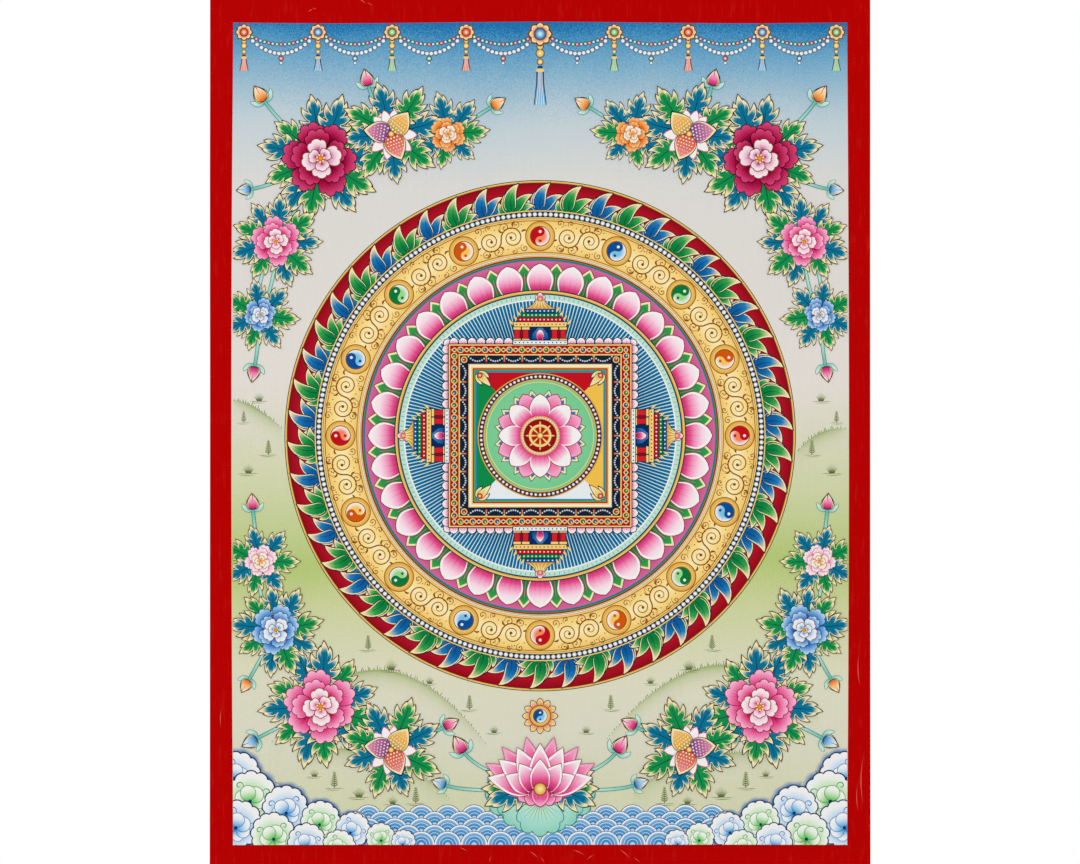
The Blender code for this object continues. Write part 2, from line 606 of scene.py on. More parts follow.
# ---- Gold scroll band ----
# A broad band of yellow ochre and gold, drawn over with brown scrolls and dots, which holds sixteen
# round jewels. Each jewel has a two-coloured swirl in a ring of gold.
BROWN_INK = "8A4614"
GOLD_PALE = "FDEDB6"
GOLD_LIT = "FADB88"
OCHRE = "F1C56C"
RUBY = "C40F1B"
CORAL = "F58A5C"
LAPIS = "0B4F98"
EMERALD = "067A3C"
GOLD_BAND_OUTER = 142.0
GOLD_BAND_INNER = 118.0
GOLD_BAND_LEVEL = 5
JEWELS = 16
JEWEL_RADIUS = 9.3
JEWEL_COLOURS = ((RUBY, CORAL), (LAPIS, "7FC3E6"), (EMERALD, "9BD98A"), ("D4560F", "F9C55E"))
SCROLL_LINE = 0.72
SCROLL_REACH = 7.3
# middle, radius, turns, direction in degrees of the outer end, and hand of the small spirals
SIDE_SPIRALS = (
    ((3.6, 7.4), 3.3, 1.35, 200.0, 1),
    ((11.2, 8.2), 2.6, 1.2, 250.0, -1),
    ((14.0, -8.0), 2.8, 1.25, 110.0, -1),
    ((7.0, -9.0), 2.2, 1.1, 60.0, 1),
)
# direction in degrees from a spiral's eye, length and bend of the leaf curls on its outer turn
LEAF_CURLS = ((20.0, 4.4, 120.0), (75.0, 4.6, 110.0), (140.0, 4.2, 110.0))
CURL_WIDTHS = (0.4, 1.2, 1.7, 1.6, 1.2, 0.7, 0.1)
SCROLL_DOTS = ((0.9, 10.3), (7.6, 6.0), (14.9, 7.4), (15.9, 3.4), (16.2, -4.4), (10.2, -7.4), (3.2, -7.0))


def spiral(eye, radius, turns, end_degrees, hand, steps):
    """Points from a spiral's eye to its outer end. The hand is 1 where it opens anticlockwise."""
    shares = [step / steps for step in range(1, steps + 1)]
    return [
        towards(90.0 - end_degrees + hand * 360.0 * turns * (1 - s), radius * (0.10 + 0.90 * s), eye)
        for s in shares
    ]


def taper(count, thick, thin):
    """Widths of a line that swells in the middle."""
    return [thin + (thick - thin) * math.sin(math.pi * at / (count - 1)) for at in range(count)]


def draw_scroll(paint):
    """One S-scroll of two spirals with an eye in each, with side spirals, leaf curls and dots."""
    for side in (1, -1):
        main = spiral((SCROLL_REACH, 0.0), SCROLL_REACH, 2.1, 180.0, 1, 40)
        main = [(u * side, v * side) for u, v in main]
        widths = [SCROLL_LINE * (0.5 + 0.7 * at / (len(main) - 1)) for at in range(len(main))]
        stroke(paint, main, widths, 0, [BROWN_INK])
        disc(paint, 1.0, 0, [BROWN_INK], 9, middle=main[0])
        for facts in SIDE_SPIRALS:
            curl = [(u * side, v * side) for u, v in spiral(*facts, 20)]
            stroke(paint, curl, taper(len(curl), SCROLL_LINE * 0.75, 0.25), 0, [BROWN_INK])
            disc(paint, 0.5, 0, [BROWN_INK], 7, middle=curl[0])
        for degrees, length, bend in LEAF_CURLS:
            foot = towards(90.0 - degrees, SCROLL_REACH * 0.98, (SCROLL_REACH, 0.0))
            heading = (90.0 if side == 1 else 270.0) - degrees - 40.0
            leaf = bent_path((side * foot[0], side * foot[1]), heading, length, bend, 6)
            stroke(paint, leaf, [SCROLL_LINE * width for width in CURL_WIDTHS], 0, [BROWN_INK])
        for u, v in SCROLL_DOTS:
            disc(paint, 0.42, 0, [BROWN_INK], 6, middle=(u * side, v * side))


def arc_points(middle, radius, start, end, steps):
    """Points of an arc, with angles in degrees anticlockwise from right."""
    turns = [start + (end - start) * step / steps for step in range(steps + 1)]
    return [towards(90.0 - turn, radius, middle) for turn in turns]


def shape(paint, outline, level, pigment):
    """A flat closed shape of one pigment."""
    points = [paint.verts.new((u, v, level)) for u, v in outline]
    paint.faces.new(points)
    tint(paint, points, pigment)


def draw_jewel(paint, radius, deep, light):
    """A round jewel: ink, gold ring, brown line, and a swirl of two commas with a lit rim."""
    disc(paint, radius + 0.5, 0, [BROWN_INK], 40)
    disc(paint, radius, 1, [GOLD_PALE, GOLD_PALE, GOLD, GOLD_DEEP], 40)
    disc(paint, radius * 0.72, 2, [BROWN_INK], 36)
    core = radius * 0.66
    disc(paint, core, 3, [light, light, WHITE], 36)
    comma = arc_points((0.0, 0.0), core, 90.0, 270.0, 18)
    comma += arc_points((0.0, -core / 2), core / 2, 270.0, 90.0, 8)[1:]
    comma += arc_points((0.0, core / 2), core / 2, -90.0, 90.0, 8)[1:-1]
    shape(paint, comma, 4, deep)
    for place, code in ((core / 2, WHITE), (-core / 2, deep)):
        disc(paint, core * 0.16, 5, [code], 8, middle=(0.0, place))


band = new_coat()
hoop(band, GOLD_BAND_OUTER, GOLD_BAND_OUTER - 1.0, GOLD_BAND_LEVEL, [INK])
stops = [OCHRE, GOLD_LIT, GOLD_PALE, GOLD_LIT, OCHRE]
hoop(band, GOLD_BAND_OUTER - 0.6, GOLD_BAND_INNER, GOLD_BAND_LEVEL + 1, stops)
for radius in (GOLD_BAND_OUTER - 1.9, GOLD_BAND_INNER + 1.5):
    hoop(band, radius + 0.22, radius - 0.22, GOLD_BAND_LEVEL + 2, [BROWN_INK])
band_middle = (GOLD_BAND_OUTER + GOLD_BAND_INNER) / 2
around(band, draw_motif(draw_scroll), band_middle, JEWELS, GOLD_BAND_LEVEL + 2, 180.0 / JEWELS)
for number, (deep, light) in enumerate(JEWEL_COLOURS):
    jewel = draw_motif(draw_jewel, JEWEL_RADIUS, deep, light)
    around(band, jewel, band_middle, JEWELS // 4, GOLD_BAND_LEVEL + 3, 360.0 / JEWELS * number)
finish_coat("gold_scroll_band", band)


# ---- Lotus-petal ring ----
# Thirty-two lotus petals, white at the tip and washed with rose and lac at the foot, over a back
# row of green and blue tips. Five thin lines of colour run round their outside.
ROSE = "E8508F"
PINK = "F6A9CB"
PALE_PINK = "FBDCE8"
MAGENTA = "A51350"
LINE_COLOURS = (WHITE, GOLD, "C8141E", MALACHITE_MID, AZURITE_MID)
LINE_EDGE = 0.12
LOTUS_OUTER = 114.0
LOTUS_INNER = 93.5
PETAL_LEVEL = 9
LOTUS_PETALS = 32
PETAL_WIDTH = 19.0
PETAL_LENGTH = 20.0
PETAL_STEPS = 12
PETAL_FULLEST = 0.62
VEIN_WIDTHS = (0.4, 0.4, 0.35, 0.3, 0.25, 0.2, 0.05)


def upright_path(foot, top, steps):
    """Points straight up from one height to another."""
    return [(0.0, foot + (top - foot) * step / steps) for step in range(steps + 1)]


def petal_widths(width, pointed):
    """Widths along a lotus petal: broad at the foot, full above the middle, rounded or pointed."""
    power, fall = (2.2, 1.0) if pointed else (3.2, 0.72)
    shares = [step / PETAL_STEPS for step in range(PETAL_STEPS + 1)]
    swell = [math.sin(math.pi / 2 * min(share / PETAL_FULLEST, 1.0)) for share in shares]
    return [width * (0.62 + 0.38 * full) * (1 - s**power) ** fall for full, s in zip(swell, shares)]


def draw_lotus_petal(paint, length, width, line, rim, stops, pointed=False):
    """A lotus petal: ink, a pale rim, its shaded inside, and fine veins from the foot."""
    for foot, tip, broad, level, shades in (
        (-0.3, length + 0.6, width + 0.9, 0, [line]),
        (0.0, length, width, 0.4, [rim]),
        (0.0, length * 0.90, width * 0.86, 0.8, stops),
    ):
        stroke(paint, upright_path(foot, tip, PETAL_STEPS), petal_widths(broad, pointed), level, shades)
    for lean in (-24.0, -12.0, 0.0, 12.0, 24.0):
        reach = length * (0.62 - abs(lean) * 0.006)
        vein = bent_path((lean * width * 0.012, 0.5), lean, reach, -lean * 0.9, 6)
        stroke(paint, vein, VEIN_WIDTHS, 1.2, [MAGENTA, ROSE, PINK])


ring = new_coat()
outer = GOLD_BAND_INNER
line_width = (GOLD_BAND_INNER - LOTUS_OUTER) / len(LINE_COLOURS)
for code in LINE_COLOURS:
    hoop(ring, outer, outer - line_width, PETAL_LEVEL, [INK])
    hoop(ring, outer - LINE_EDGE, outer - line_width + LINE_EDGE, PETAL_LEVEL + 1, [code])
    outer -= line_width
hoop(ring, LOTUS_OUTER, LOTUS_INNER - 2, PETAL_LEVEL, ["7A0F3A", "B32C64", "D86A9C"])
stops = [MALACHITE, MALACHITE, MALACHITE_MID]
petal = draw_motif(draw_lotus_petal, PETAL_LENGTH * 0.97, PETAL_WIDTH * 0.9, INK, CREAM, stops, True)
around(ring, petal, LOTUS_INNER, LOTUS_PETALS, PETAL_LEVEL + 2, 180.0 / LOTUS_PETALS)
stops = [MAGENTA, ROSE, PINK, PALE_PINK, WHITE]
petal = draw_motif(draw_lotus_petal, PETAL_LENGTH * 0.93, PETAL_WIDTH, MAGENTA, WHITE, stops)
around(ring, petal, LOTUS_INNER, LOTUS_PETALS, PETAL_LEVEL + 6)
finish_coat("lotus_petal_ring", ring)


# ---- Blue field with rays ----
# A disc of azurite, nearly black towards the middle, with fine rays of shell white ruled out from the
# palace, about 2.3 mm apart at the rim, where a mint band with short ticks closes them in.
FIELD_RADIUS = 94.2
FIELD_SIDES = 160
FIELD_RIM = 2.0
FIELD_LEVEL = 22
MINT_BAND = 3.4
RAYS = 240
RAY_WIDTH = 0.62
RAY_START = 50.0
RAY_STEPS = 6
TICKS = 180
TICK_WIDTH = 0.5
NIGHT = "0A1F42"
MINT = "BFE4D2"
MINT_INK = "5E9C8C"


def draw_ray(paint, start, end, width, stops):
    widths = [width * (0.45 + 0.55 * step / RAY_STEPS) for step in range(RAY_STEPS + 1)]
    stroke(paint, upright_path(start, end, RAY_STEPS), widths, 0, stops)


field = new_coat()
outer = FIELD_RADIUS - FIELD_RIM
inner = outer - MINT_BAND
for radius, hole, level, stops in (
    (FIELD_RADIUS + 0.8, outer - 0.2, 0, [INK]),
    (FIELD_RADIUS + 0.2, outer + 0.6, 1, [GOLD_DEEP, GOLD]),
    (outer, 0.0, 1, [NIGHT, NIGHT, "0A3F6C", "0D74A4"]),
    (outer - 0.4, inner, 3, [MINT]),
    (inner, inner - 0.8, 3, [WHITE]),
):
    hoop(field, radius, hole, FIELD_LEVEL + level, stops, FIELD_SIDES)
tick = draw_motif(draw_ray, inner + 0.5, outer - 1.0, TICK_WIDTH, [MINT_INK])
around(field, tick, 0.0, TICKS, FIELD_LEVEL + 4)
ray = draw_motif(draw_ray, RAY_START, inner - 0.6, RAY_WIDTH, ["7CC0D4", "DAEFEE"])
around(field, ray, 0.0, RAYS, FIELD_LEVEL + 2.5)
finish_coat("blue_ray_field", field)


# ---- Palace walls ----
# A square palace seen from above, as in temple mandalas: a parapet of white petals, a red frieze set
# with jewels, pearl swags on blue-black, and five lines of colour, with gold between them.
DEEP_RED = "B0101C"
WALL_LEVEL = 26
WALL_HALF = 59.5
FRIEZE_WIDTH = 5.6
SWAG_WIDTH = 5.6
WALL_SWAGS = 8
SWAG_PEARLS = 9
COURT_LINE = 0.95
GOLD_LINE = 0.8
FRIEZE_JEWELS = 7
CRENEL_HEIGHT = 4.6
CRENEL_WIDTH = 5.6
CRENELS = 20
PLATE_CELL = 8.0


def plate(paint, half, level, pigment):
    """A square of paint round the mandala's middle."""
    points = stretched_grid(paint, -half, half, CENTRE[1] - half, CENTRE[1] + half, PLATE_CELL)
    for point in points:
        point.co.z = level
    tint(paint, points, pigment)


def on_walls(paint, motif, half, reach, count, level, first=0.5):
    """Repeats a motif along the four walls, half away from the middle and over reach on each side."""
    for degrees in (0.0, 90.0, 180.0, 270.0):
        for number in range(count):
            along = 2 * reach * (number + first) / count - reach
            place = towards(degrees + 90.0, along, towards(degrees, half, CENTRE))
            stamp(paint, motif, place, level, degrees)


def on_corners(paint, motif, half, level):
    """Repeats a motif on the four corners of a square, with its tip outwards."""
    around(paint, motif, half * math.sqrt(2), 4, level, 45.0)


def draw_frieze_jewel(paint, deep, light):
    disc(paint, 2.15, 0, [GOLD_DEEP, GOLD], 14)
    disc(paint, 1.45, 1, [light, deep, INK], 12)
    disc(paint, 0.4, 2, [WHITE], 6, middle=(-0.45, 0.5))


def draw_lozenge(paint):
    for u, v, level, code in ((2.3, 1.7, 0, GOLD), (1.3, 0.9, 1, LAPIS)):
        shape(paint, [(-u, 0.0), (0.0, -v), (u, 0.0), (0.0, v)], level, code)


def draw_wall_swag(paint, span, drop):
    """A loop of pearls, hung from one gold line and pointing inwards."""
    for number in range(SWAG_PEARLS):
        share = 2 * number / (SWAG_PEARLS - 1) - 1
        place = (share * span / 2, -0.4 - drop * (1 - share * share))
        disc(paint, 0.62, 0, [WHITE, PEARL_SHADE], 8, middle=place)


def draw_wall_pendant(paint, drop):
    """A gold bead and a coral drop, which hang where two loops meet."""
    path = [(0.0, 0.0), (0.0, -drop * 0.6), (0.0, -drop * 1.25)]
    stroke(paint, path, [0.35, 0.5, 1.3], 0.5, [GOLD, "E8432A"])
    disc(paint, 0.85, 1, [GOLD, GOLD_DEEP], 8)


walls = new_coat()
crenel = draw_motif(draw_lotus_petal, CRENEL_HEIGHT, CRENEL_WIDTH, INK, WHITE, [ROSE, PALE_PINK, WHITE])
on_walls(walls, crenel, WALL_HALF - 0.3, WALL_HALF - 0.3, CRENELS, WALL_LEVEL + 2)
on_corners(walls, crenel, WALL_HALF - 0.6, WALL_LEVEL)
plate(walls, WALL_HALF + 0.5, WALL_LEVEL + 6, INK)
frieze = WALL_HALF - GOLD_LINE - FRIEZE_WIDTH / 2
swag_line = WALL_HALF - 2 * GOLD_LINE - FRIEZE_WIDTH
court_half = WALL_HALF
for level, (width, code) in enumerate((
    (GOLD_LINE, GOLD),
    (FRIEZE_WIDTH, DEEP_RED),
    (GOLD_LINE, GOLD),
    (SWAG_WIDTH, INK),
    (GOLD_LINE, GOLD),
    *((COURT_LINE, code) for code in LINE_COLOURS),
), WALL_LEVEL + 7):
    plate(walls, court_half, level, code)
    court_half -= width
for number, (deep, light) in enumerate(JEWEL_COLOURS[1:3]):
    jewel = draw_motif(draw_frieze_jewel, deep, light)
    on_walls(walls, jewel, frieze, frieze, FRIEZE_JEWELS, WALL_LEVEL + 9, 0.25 + 0.5 * number)
on_walls(walls, draw_motif(draw_lozenge), frieze, frieze, FRIEZE_JEWELS * 2, WALL_LEVEL + 9, 0.0)
corner = swag_line - SWAG_WIDTH
loop = 2 * corner / WALL_SWAGS
drop = SWAG_WIDTH * 0.55
level = WALL_LEVEL + 11
on_walls(walls, draw_motif(draw_wall_swag, loop, drop), swag_line - 0.3, corner, WALL_SWAGS, level)
pendant = draw_motif(draw_wall_pendant, drop)
on_walls(walls, pendant, swag_line - 0.3, corner - loop / 2, WALL_SWAGS - 1, level)
on_corners(walls, draw_motif(draw_frieze_jewel, RUBY, CORAL), swag_line - SWAG_WIDTH / 2, level)
finish_coat("palace_walls", walls)


# ---- Palace gates ----
# A gate stands out from the middle of each wall: a dark doorway between red pillars on a pale sill,
# four stepped eaves, each of one colour and set with dots, a gold roof, and a lotus finial.
SCARLET = "D8202A"
CRIMSON = "C2141F"
SHELL_GREY = "E9EEF0"
GATE_LEVEL = 36
# v of the foot and top, half width at the foot and top, pigment and pigment of the dots
GATE_TIERS = (
    (0.0, 2.4, 17.5, 17.5, SHELL_GREY, LAPIS),
    (11.6, 14.4, 16.8, 17.6, GOLD, DEEP_RED),
    (14.9, 17.4, 14.2, 15.0, CRIMSON, WHITE),
    (17.9, 20.2, 11.8, 12.6, MALACHITE, WHITE),
    (20.7, 22.8, 9.4, 10.2, LAPIS, WHITE),
)
GATE_DOT_PITCH = 2.6
PILLARS = (-15.0, -9.4, 9.4, 15.0)
PILLAR_WIDTH = 3.2
EAVE_WIDTHS = (1.7, 1.6, 1.3, 1.0, 0.7, 0.1)
# v and width of the roof at each step, inside its ink line and with it
ROOF = ((23.1, 20.0), (24.2, 14.6), (25.4, 10.8), (26.6, 8.0), (28.0, 6.2), (29.4, 5.2))
ROOF_INKED = ((22.9, 21.2), (24.2, 15.8), (25.4, 11.8), (26.6, 9.0), (28.0, 7.2), (29.4, 6.2), (30.0, 6.0))


def block(paint, foot, top, half_foot, half_top, level, pigment, u=0.0):
    """A band of paint between two heights, with an ink line round it."""
    for grown, coat, code in ((INK_LINE, 0, INK), (0.0, 1, pigment)):
        path = [(u, foot - grown), (u, (foot + top) / 2), (u, top + grown)]
        widths = [width + 2 * grown for width in (2 * half_foot, half_foot + half_top, 2 * half_top)]
        stroke(paint, path, widths, level + coat, [code])


def draw_gate(paint):
    """A gate, from its sill up: doorway, pillars, eaves with turned-up gold ends, roof and finial."""
    block(paint, 0.0, 12.0, 16.6, 16.6, 0, LAC)
    block(paint, 2.0, 11.8, 7.4, 7.4, 2, "0E2A5C")
    stroke(paint, [(0.0, 3.4), (0.0, 7.0), (0.0, 10.8)], [10.4, 9.6, 3.0], 4, [LAPIS, "2F86BC"])
    flame = draw_motif(draw_lotus_petal, 6.4, 5.0, MAGENTA, WHITE, [MAGENTA, ROSE, WHITE])
    stamp(paint, flame, (0.0, 3.2), 5)
    for u in PILLARS:
        block(paint, 2.4, 11.4, PILLAR_WIDTH / 2, PILLAR_WIDTH / 2, 2, SCARLET, u)
        for foot, top in ((9.6, 11.6), (2.2, 3.6)):
            block(paint, foot, top, PILLAR_WIDTH * 0.75, PILLAR_WIDTH * 0.75, 4, GOLD, u)
    for foot, top, half_foot, half_top, code, dots in GATE_TIERS:
        block(paint, foot, top, half_foot, half_top, 6, code)
        count = round(2 * half_foot / GATE_DOT_PITCH)
        for number in range(count):
            u = ((2 * number + 1) / count - 1) * half_foot
            disc(paint, 0.5, 8, [dots], 7, middle=(u, (foot + top) / 2))
        if foot:
            for side in (1, -1):
                eave = bent_path((side * half_top, top - 0.8), 80.0 * side, 3.6, -80.0 * side, 5)
                stroke(paint, eave, EAVE_WIDTHS, 5, [GOLD])
    for roof, level, stops in ((ROOF_INKED, 8, [INK]), (ROOF, 9, [GOLD_DEEP, GOLD, GOLD_PALE])):
        stroke(paint, [(0.0, v) for v, width in roof], [width for v, width in roof], level, stops)
    for lean in (-3.4, -1.7, 0.0, 1.7, 3.4):
        ridge = [(lean * 1.7, 23.4), (lean, 26.0), (lean * 0.6, 29.2)]
        stroke(paint, ridge, [0.3, 0.3, 0.2], 10, [BROWN_INK])
    finial = draw_motif(draw_lotus_petal, 5.4, 4.4, MAGENTA, WHITE, [MAGENTA, ROSE, WHITE])
    for lean, size, level in ((-50.0, 0.7, 10), (50.0, 0.7, 10), (0.0, 0.85, 14)):
        stamp(paint, finial, (0.0, 29.0), level, lean, size)
    disc(paint, 1.2, 18, [GOLD, GOLD_DEEP], 9, middle=(0.0, 29.6))


gates = new_coat()
around(gates, draw_motif(draw_gate), WALL_HALF, 4, GATE_LEVEL)
finish_coat("palace_gates", gates)


# ---- Palace court ----
# The floor inside the walls: four coloured quarters that meet on the diagonals, with gold leaves in
# the corners, and over them the bead ring and the plain green disc that the heart lotus lies on.
COURT_COLOURS = (CRIMSON, "F2C24E", SHELL_GREY, "0F8A48")
COURT_LEVEL = 46
COURT_SIDES = 120
QUARTER_ROWS = 5
BEAD_RING_WIDTH = 4.5
BEAD_RADIUS = 0.95
BEADS = 84
HALO_GREEN = "7FD199"
HALO_EDGE = "77CA93"


def draw_corner_leaf(paint):
    """Three gold leaves that fan out of a corner, with a jewel on their foot."""
    stops = [GOLD_DEEP, GOLD, GOLD_PALE]
    for side in (1, -1):
        lobe(paint, (0.0, 1.0), side * 58.0, 8.0, 3.2, -side * 66.0, 0, stops)
    lobe(paint, (0.0, 1.0), 0.0, 11.5, 4.2, 0.0, 3, stops)
    for radius, level, stops in ((1.9, 6, [BROWN_INK]), (1.5, 7, [WHITE, CORAL, RUBY])):
        disc(paint, radius, level, stops, 12, middle=(0.0, 2.6))


court = new_coat()
leaf = draw_motif(draw_corner_leaf)
for number, code in enumerate(COURT_COLOURS):
    depths = [court_half * row / QUARTER_ROWS for row in range(QUARTER_ROWS + 1)]
    path = [towards(90.0 * number, depth, CENTRE) for depth in depths]
    stroke(court, path, [2 * depth for depth in depths], COURT_LEVEL, [code])
    degrees = 45.0 + 90.0 * number
    corner = towards(degrees, court_half * math.sqrt(2), CENTRE)
    stamp(court, leaf, corner, COURT_LEVEL + 1, degrees + 180.0)
rim = court_half - 0.4
halo = rim - BEAD_RING_WIDTH
for radius, hole, level, stops in (
    (rim, halo, 3, [GOLD_DEEP, GOLD, GOLD_DEEP]),
    (rim - 0.7, halo + 0.7, 4, [INK, "7A0F1E", INK]),
    (halo, 0.0, 4, [HALO_GREEN, HALO_GREEN, HALO_GREEN, HALO_EDGE]),
    (halo - 1.1, halo - 1.6, 5, [GOLD]),
):
    hoop(court, radius, hole, COURT_LEVEL + level, stops, COURT_SIDES)
around(court, draw_motif(draw_pearl, BEAD_RADIUS), rim - BEAD_RING_WIDTH / 2, BEADS, COURT_LEVEL + 5)
finish_coat("palace_court", court)


# ---- Heart lotus ----
# An eight-petalled lotus in two rows, shell white to lac, round a red disc with a gold eight-spoked
# wheel: the middle of the mandala.
HEART_LEVEL = 55
HEART_SIDES = 48
HEART_FOOT = 10.5
HEART_PETALS = 8
STAMENS = 40
STAMEN_RADIUS = 0.6
WHEEL_RADIUS = 7.6
# share of the wheel's radius, and width there, along each spoke
SPOKE = (
    (0.1, 0.07), (0.3, 0.08), (0.5, 0.11), (0.62, 0.16), (0.8, 0.10), (1.0, 0.10), (1.1, 0.13), (1.25, 0.01),
)


def draw_spoke(paint, radius):
    path = [(0.0, radius * share) for share, width in SPOKE]
    for grown, level, code in ((0.4, 0, BROWN_INK), (0.0, 2, GOLD)):
        stroke(paint, path, [radius * width + grown for share, width in SPOKE], level, [code])


def draw_wheel(paint, radius):
    """A gold wheel: rim, eight spokes with points outside the rim, hub and brown lines."""
    disc(paint, radius, 0, [BROWN_INK], 32, radius * 0.70)
    disc(paint, radius * 0.96, 1, [GOLD_DEEP, GOLD, GOLD_PALE], 32, radius * 0.74)
    around(paint, draw_motif(draw_spoke, radius), 0.0, 8, 0, middle=(0.0, 0.0))
    disc(paint, radius * 0.30, 3, [BROWN_INK], 16)
    disc(paint, radius * 0.25, 4, [WHITE, GOLD, GOLD_DEEP], 16)


heart = new_coat()
leafy = draw_motif(draw_lotus_petal, 19.5, 13.5, INK, CREAM, [AZURITE, AZURITE, AZURITE_MID], True)
around(heart, leafy, HEART_FOOT, HEART_PETALS * 2, HEART_LEVEL, 90.0 / HEART_PETALS)
back = draw_motif(draw_lotus_petal, 18.5, 14.0, MAGENTA, PINK, [MAGENTA, ROSE, PINK])
around(heart, back, HEART_FOOT, HEART_PETALS, HEART_LEVEL + 4, 180.0 / HEART_PETALS)
front = draw_motif(draw_lotus_petal, 17.0, 14.5, MAGENTA, WHITE, [MAGENTA, ROSE, PINK, WHITE, WHITE])
around(heart, front, HEART_FOOT - 0.5, HEART_PETALS, HEART_LEVEL + 8)
for radius, hole, level, stops in (
    (HEART_FOOT + 2.4, HEART_FOOT, 12, [GOLD, GOLD_DEEP]),
    (HEART_FOOT + 0.3, 0.0, 13, [BROWN_INK]),
    (HEART_FOOT, 0.0, 14, [SCARLET, "B50E1A", LAC]),
):
    hoop(heart, radius, hole, HEART_LEVEL + level, stops, HEART_SIDES)
around(heart, draw_motif(draw_pearl, STAMEN_RADIUS), HEART_FOOT + 1.2, STAMENS, HEART_LEVEL + 13)
stamp(heart, draw_motif(draw_wheel, WHEEL_RADIUS), CENTRE, HEART_LEVEL + 15)
finish_coat("heart_lotus", heart)


# ---- Waves ----
# Water along the picture's foot: rows of waves like fish scales, each with a white crest over bands
# of azurite, and a pale line between two bands.
WAVE_RADIUS = 8.6
WAVE_ROWS = 5
WAVE_COUNT = 14
WAVE_LEVEL = 7
# radius of each band over the wave's own, and its pigments from the middle out
WAVE_BANDS = (
    (1.045, ["123A74"]),
    (1.00, [WHITE]),
    (0.89, ["1D5FA9", "1D5FA9", "2A73B9", "8FC3E6"]),
    (0.69, ["D3E9F4"]),
    (0.64, ["1A56A0", "1F63AC", "5FA6D8"]),
    (0.44, ["C4E0F0"]),
    (0.39, ["174C94", "4D96CE"]),
    (0.20, ["B5D8ED"]),
)


def crop_to_picture(paint):
    """Cuts away what would run over the red border, as the painter stops at the ruled line."""
    for place, outwards in (
        ((PICTURE_HALF, 0.0, 0.0), (1.0, 0.0, 0.0)),
        ((-PICTURE_HALF, 0.0, 0.0), (-1.0, 0.0, 0.0)),
        ((0.0, PICTURE_TOP, 0.0), (0.0, 1.0, 0.0)),
        ((0.0, PICTURE_FOOT, 0.0), (0.0, -1.0, 0.0)),
    ):
        everything = [*paint.verts, *paint.edges, *paint.faces]
        bmesh.ops.bisect_plane(
            paint, geom=everything, dist=0.0001, plane_co=place, plane_no=outwards, clear_outer=True
        )


def draw_wave(paint, radius):
    for number, (share, stops) in enumerate(WAVE_BANDS):
        disc(paint, radius * share, 0.25 * number, stops)


waves = new_coat()
wave = draw_motif(draw_wave, WAVE_RADIUS)
for row in range(WAVE_ROWS):
    count = WAVE_COUNT + row % 2
    v = PICTURE_FOOT + 0.5 * WAVE_RADIUS * (WAVE_ROWS - 1 - row)
    for number in range(count):
        u = WAVE_RADIUS * (2 * number - count + 1)
        stamp(waves, wave, (u, v), WAVE_LEVEL + 2.25 * row)
crop_to_picture(waves)
finish_coat("foot_waves", waves)


# ---- Meadow grass ----
# Low hills with a green crest that fades down into the ground, and tufts of grass and small herbs in
# thin olive ink, at the sides of the mandala and along the water's edge.
GRASS_INK = "5C6A35"
GRASS_LIGHT = "93A063"
HILL_GREEN = "96AC5E"
# left foot, crest and right foot of each hill
HILLS = (
    ((-176.0, -486.0), (-106.0, -437.0), (-34.0, -487.0)),
    ((42.0, -484.0), (114.0, -434.0), (182.0, -470.0)),
    ((-158.0, -495.0), (-108.0, -491.0), (-58.0, -522.0)),
    ((60.0, -519.0), (104.0, -494.0), (156.0, -494.0)),
    ((-200.6, -262.0), (-186.0, -266.0), (-167.0, -281.0)),
    ((166.8, -296.0), (182.0, -283.0), (200.6, -280.0)),
)
# how far each row of the wash lies below the crest, and how green it is
HILL_ROWS = ((0.0, 1.0), (1.5, 0.62), (4.0, 0.34), (8.0, 0.13), (14.0, 0.0))
HILL_STEPS = 24
HILL_LEVEL = 5
BLADE_GAP = 1.5
BLADES = 11
HERB_PAIRS = 7
GRASS_LEVEL = 7
# u, v and size of each plant on the right, and whether it is a herb
GRASS = (
    (183.0, -262.0, 0.9, False), (193.0, -276.0, 0.7, True), (177.0, -297.0, 0.9, True),
    (190.0, -309.0, 1.0, False), (112.0, -424.0, 0.9, True), (97.0, -437.0, 1.1, False),
    (72.0, -446.0, 0.8, False), (46.0, -463.0, 0.9, True), (30.0, -478.0, 0.8, False),
    (147.0, -506.5, 0.8, False), (134.0, -514.0, 1.0, True), (118.0, -520.0, 1.1, False),
    (96.0, -524.5, 0.9, False), (81.0, -524.0, 1.0, True),
)


def curve_point(start, bend, end, share):
    """The point at a share of a curve, which leaves start towards bend and reaches end from there."""
    return start.lerp(bend, share).lerp(bend.lerp(end, share), share)


def draw_hill(paint, left, crest, right):
    """A wash that fades down from the crest and out to its ends, and blades of grass along it."""
    layer = paint.verts.layers.float_color["pigment"]
    left, crest, right = Vector(left), Vector(crest), Vector(right)
    bend = 2 * crest - (left + right) / 2
    for point in stretched_grid(paint, 0, HILL_STEPS, 0, len(HILL_ROWS) - 1, 1.0):
        share = point.co.x / HILL_STEPS
        drop, strength = HILL_ROWS[round(point.co.y)]
        u, v = curve_point(left, bend, right, share)
        point.co = (u, v - drop, HILL_LEVEL)
        strength *= max(math.sin(math.pi * share), 0.0) ** 0.6
        point[layer] = mixed(ground_wash(v - drop), linear(HILL_GREEN), strength)
    count = int((right - left).length / BLADE_GAP)
    for number in range(1, count):
        share = number / count
        length = (2.1 + 1.2 * math.sin(number * 1.9)) * math.sin(math.pi * share) ** 0.4
        foot = curve_point(left, bend, right, share)
        blade = bent_path(foot, 26.0 * math.sin(number * 2.4), length, 30.0 * math.sin(number * 3.1), 3)
        stroke(paint, blade, [0.44, 0.36, 0.24, 0.05], HILL_LEVEL + 1, [GRASS_INK])


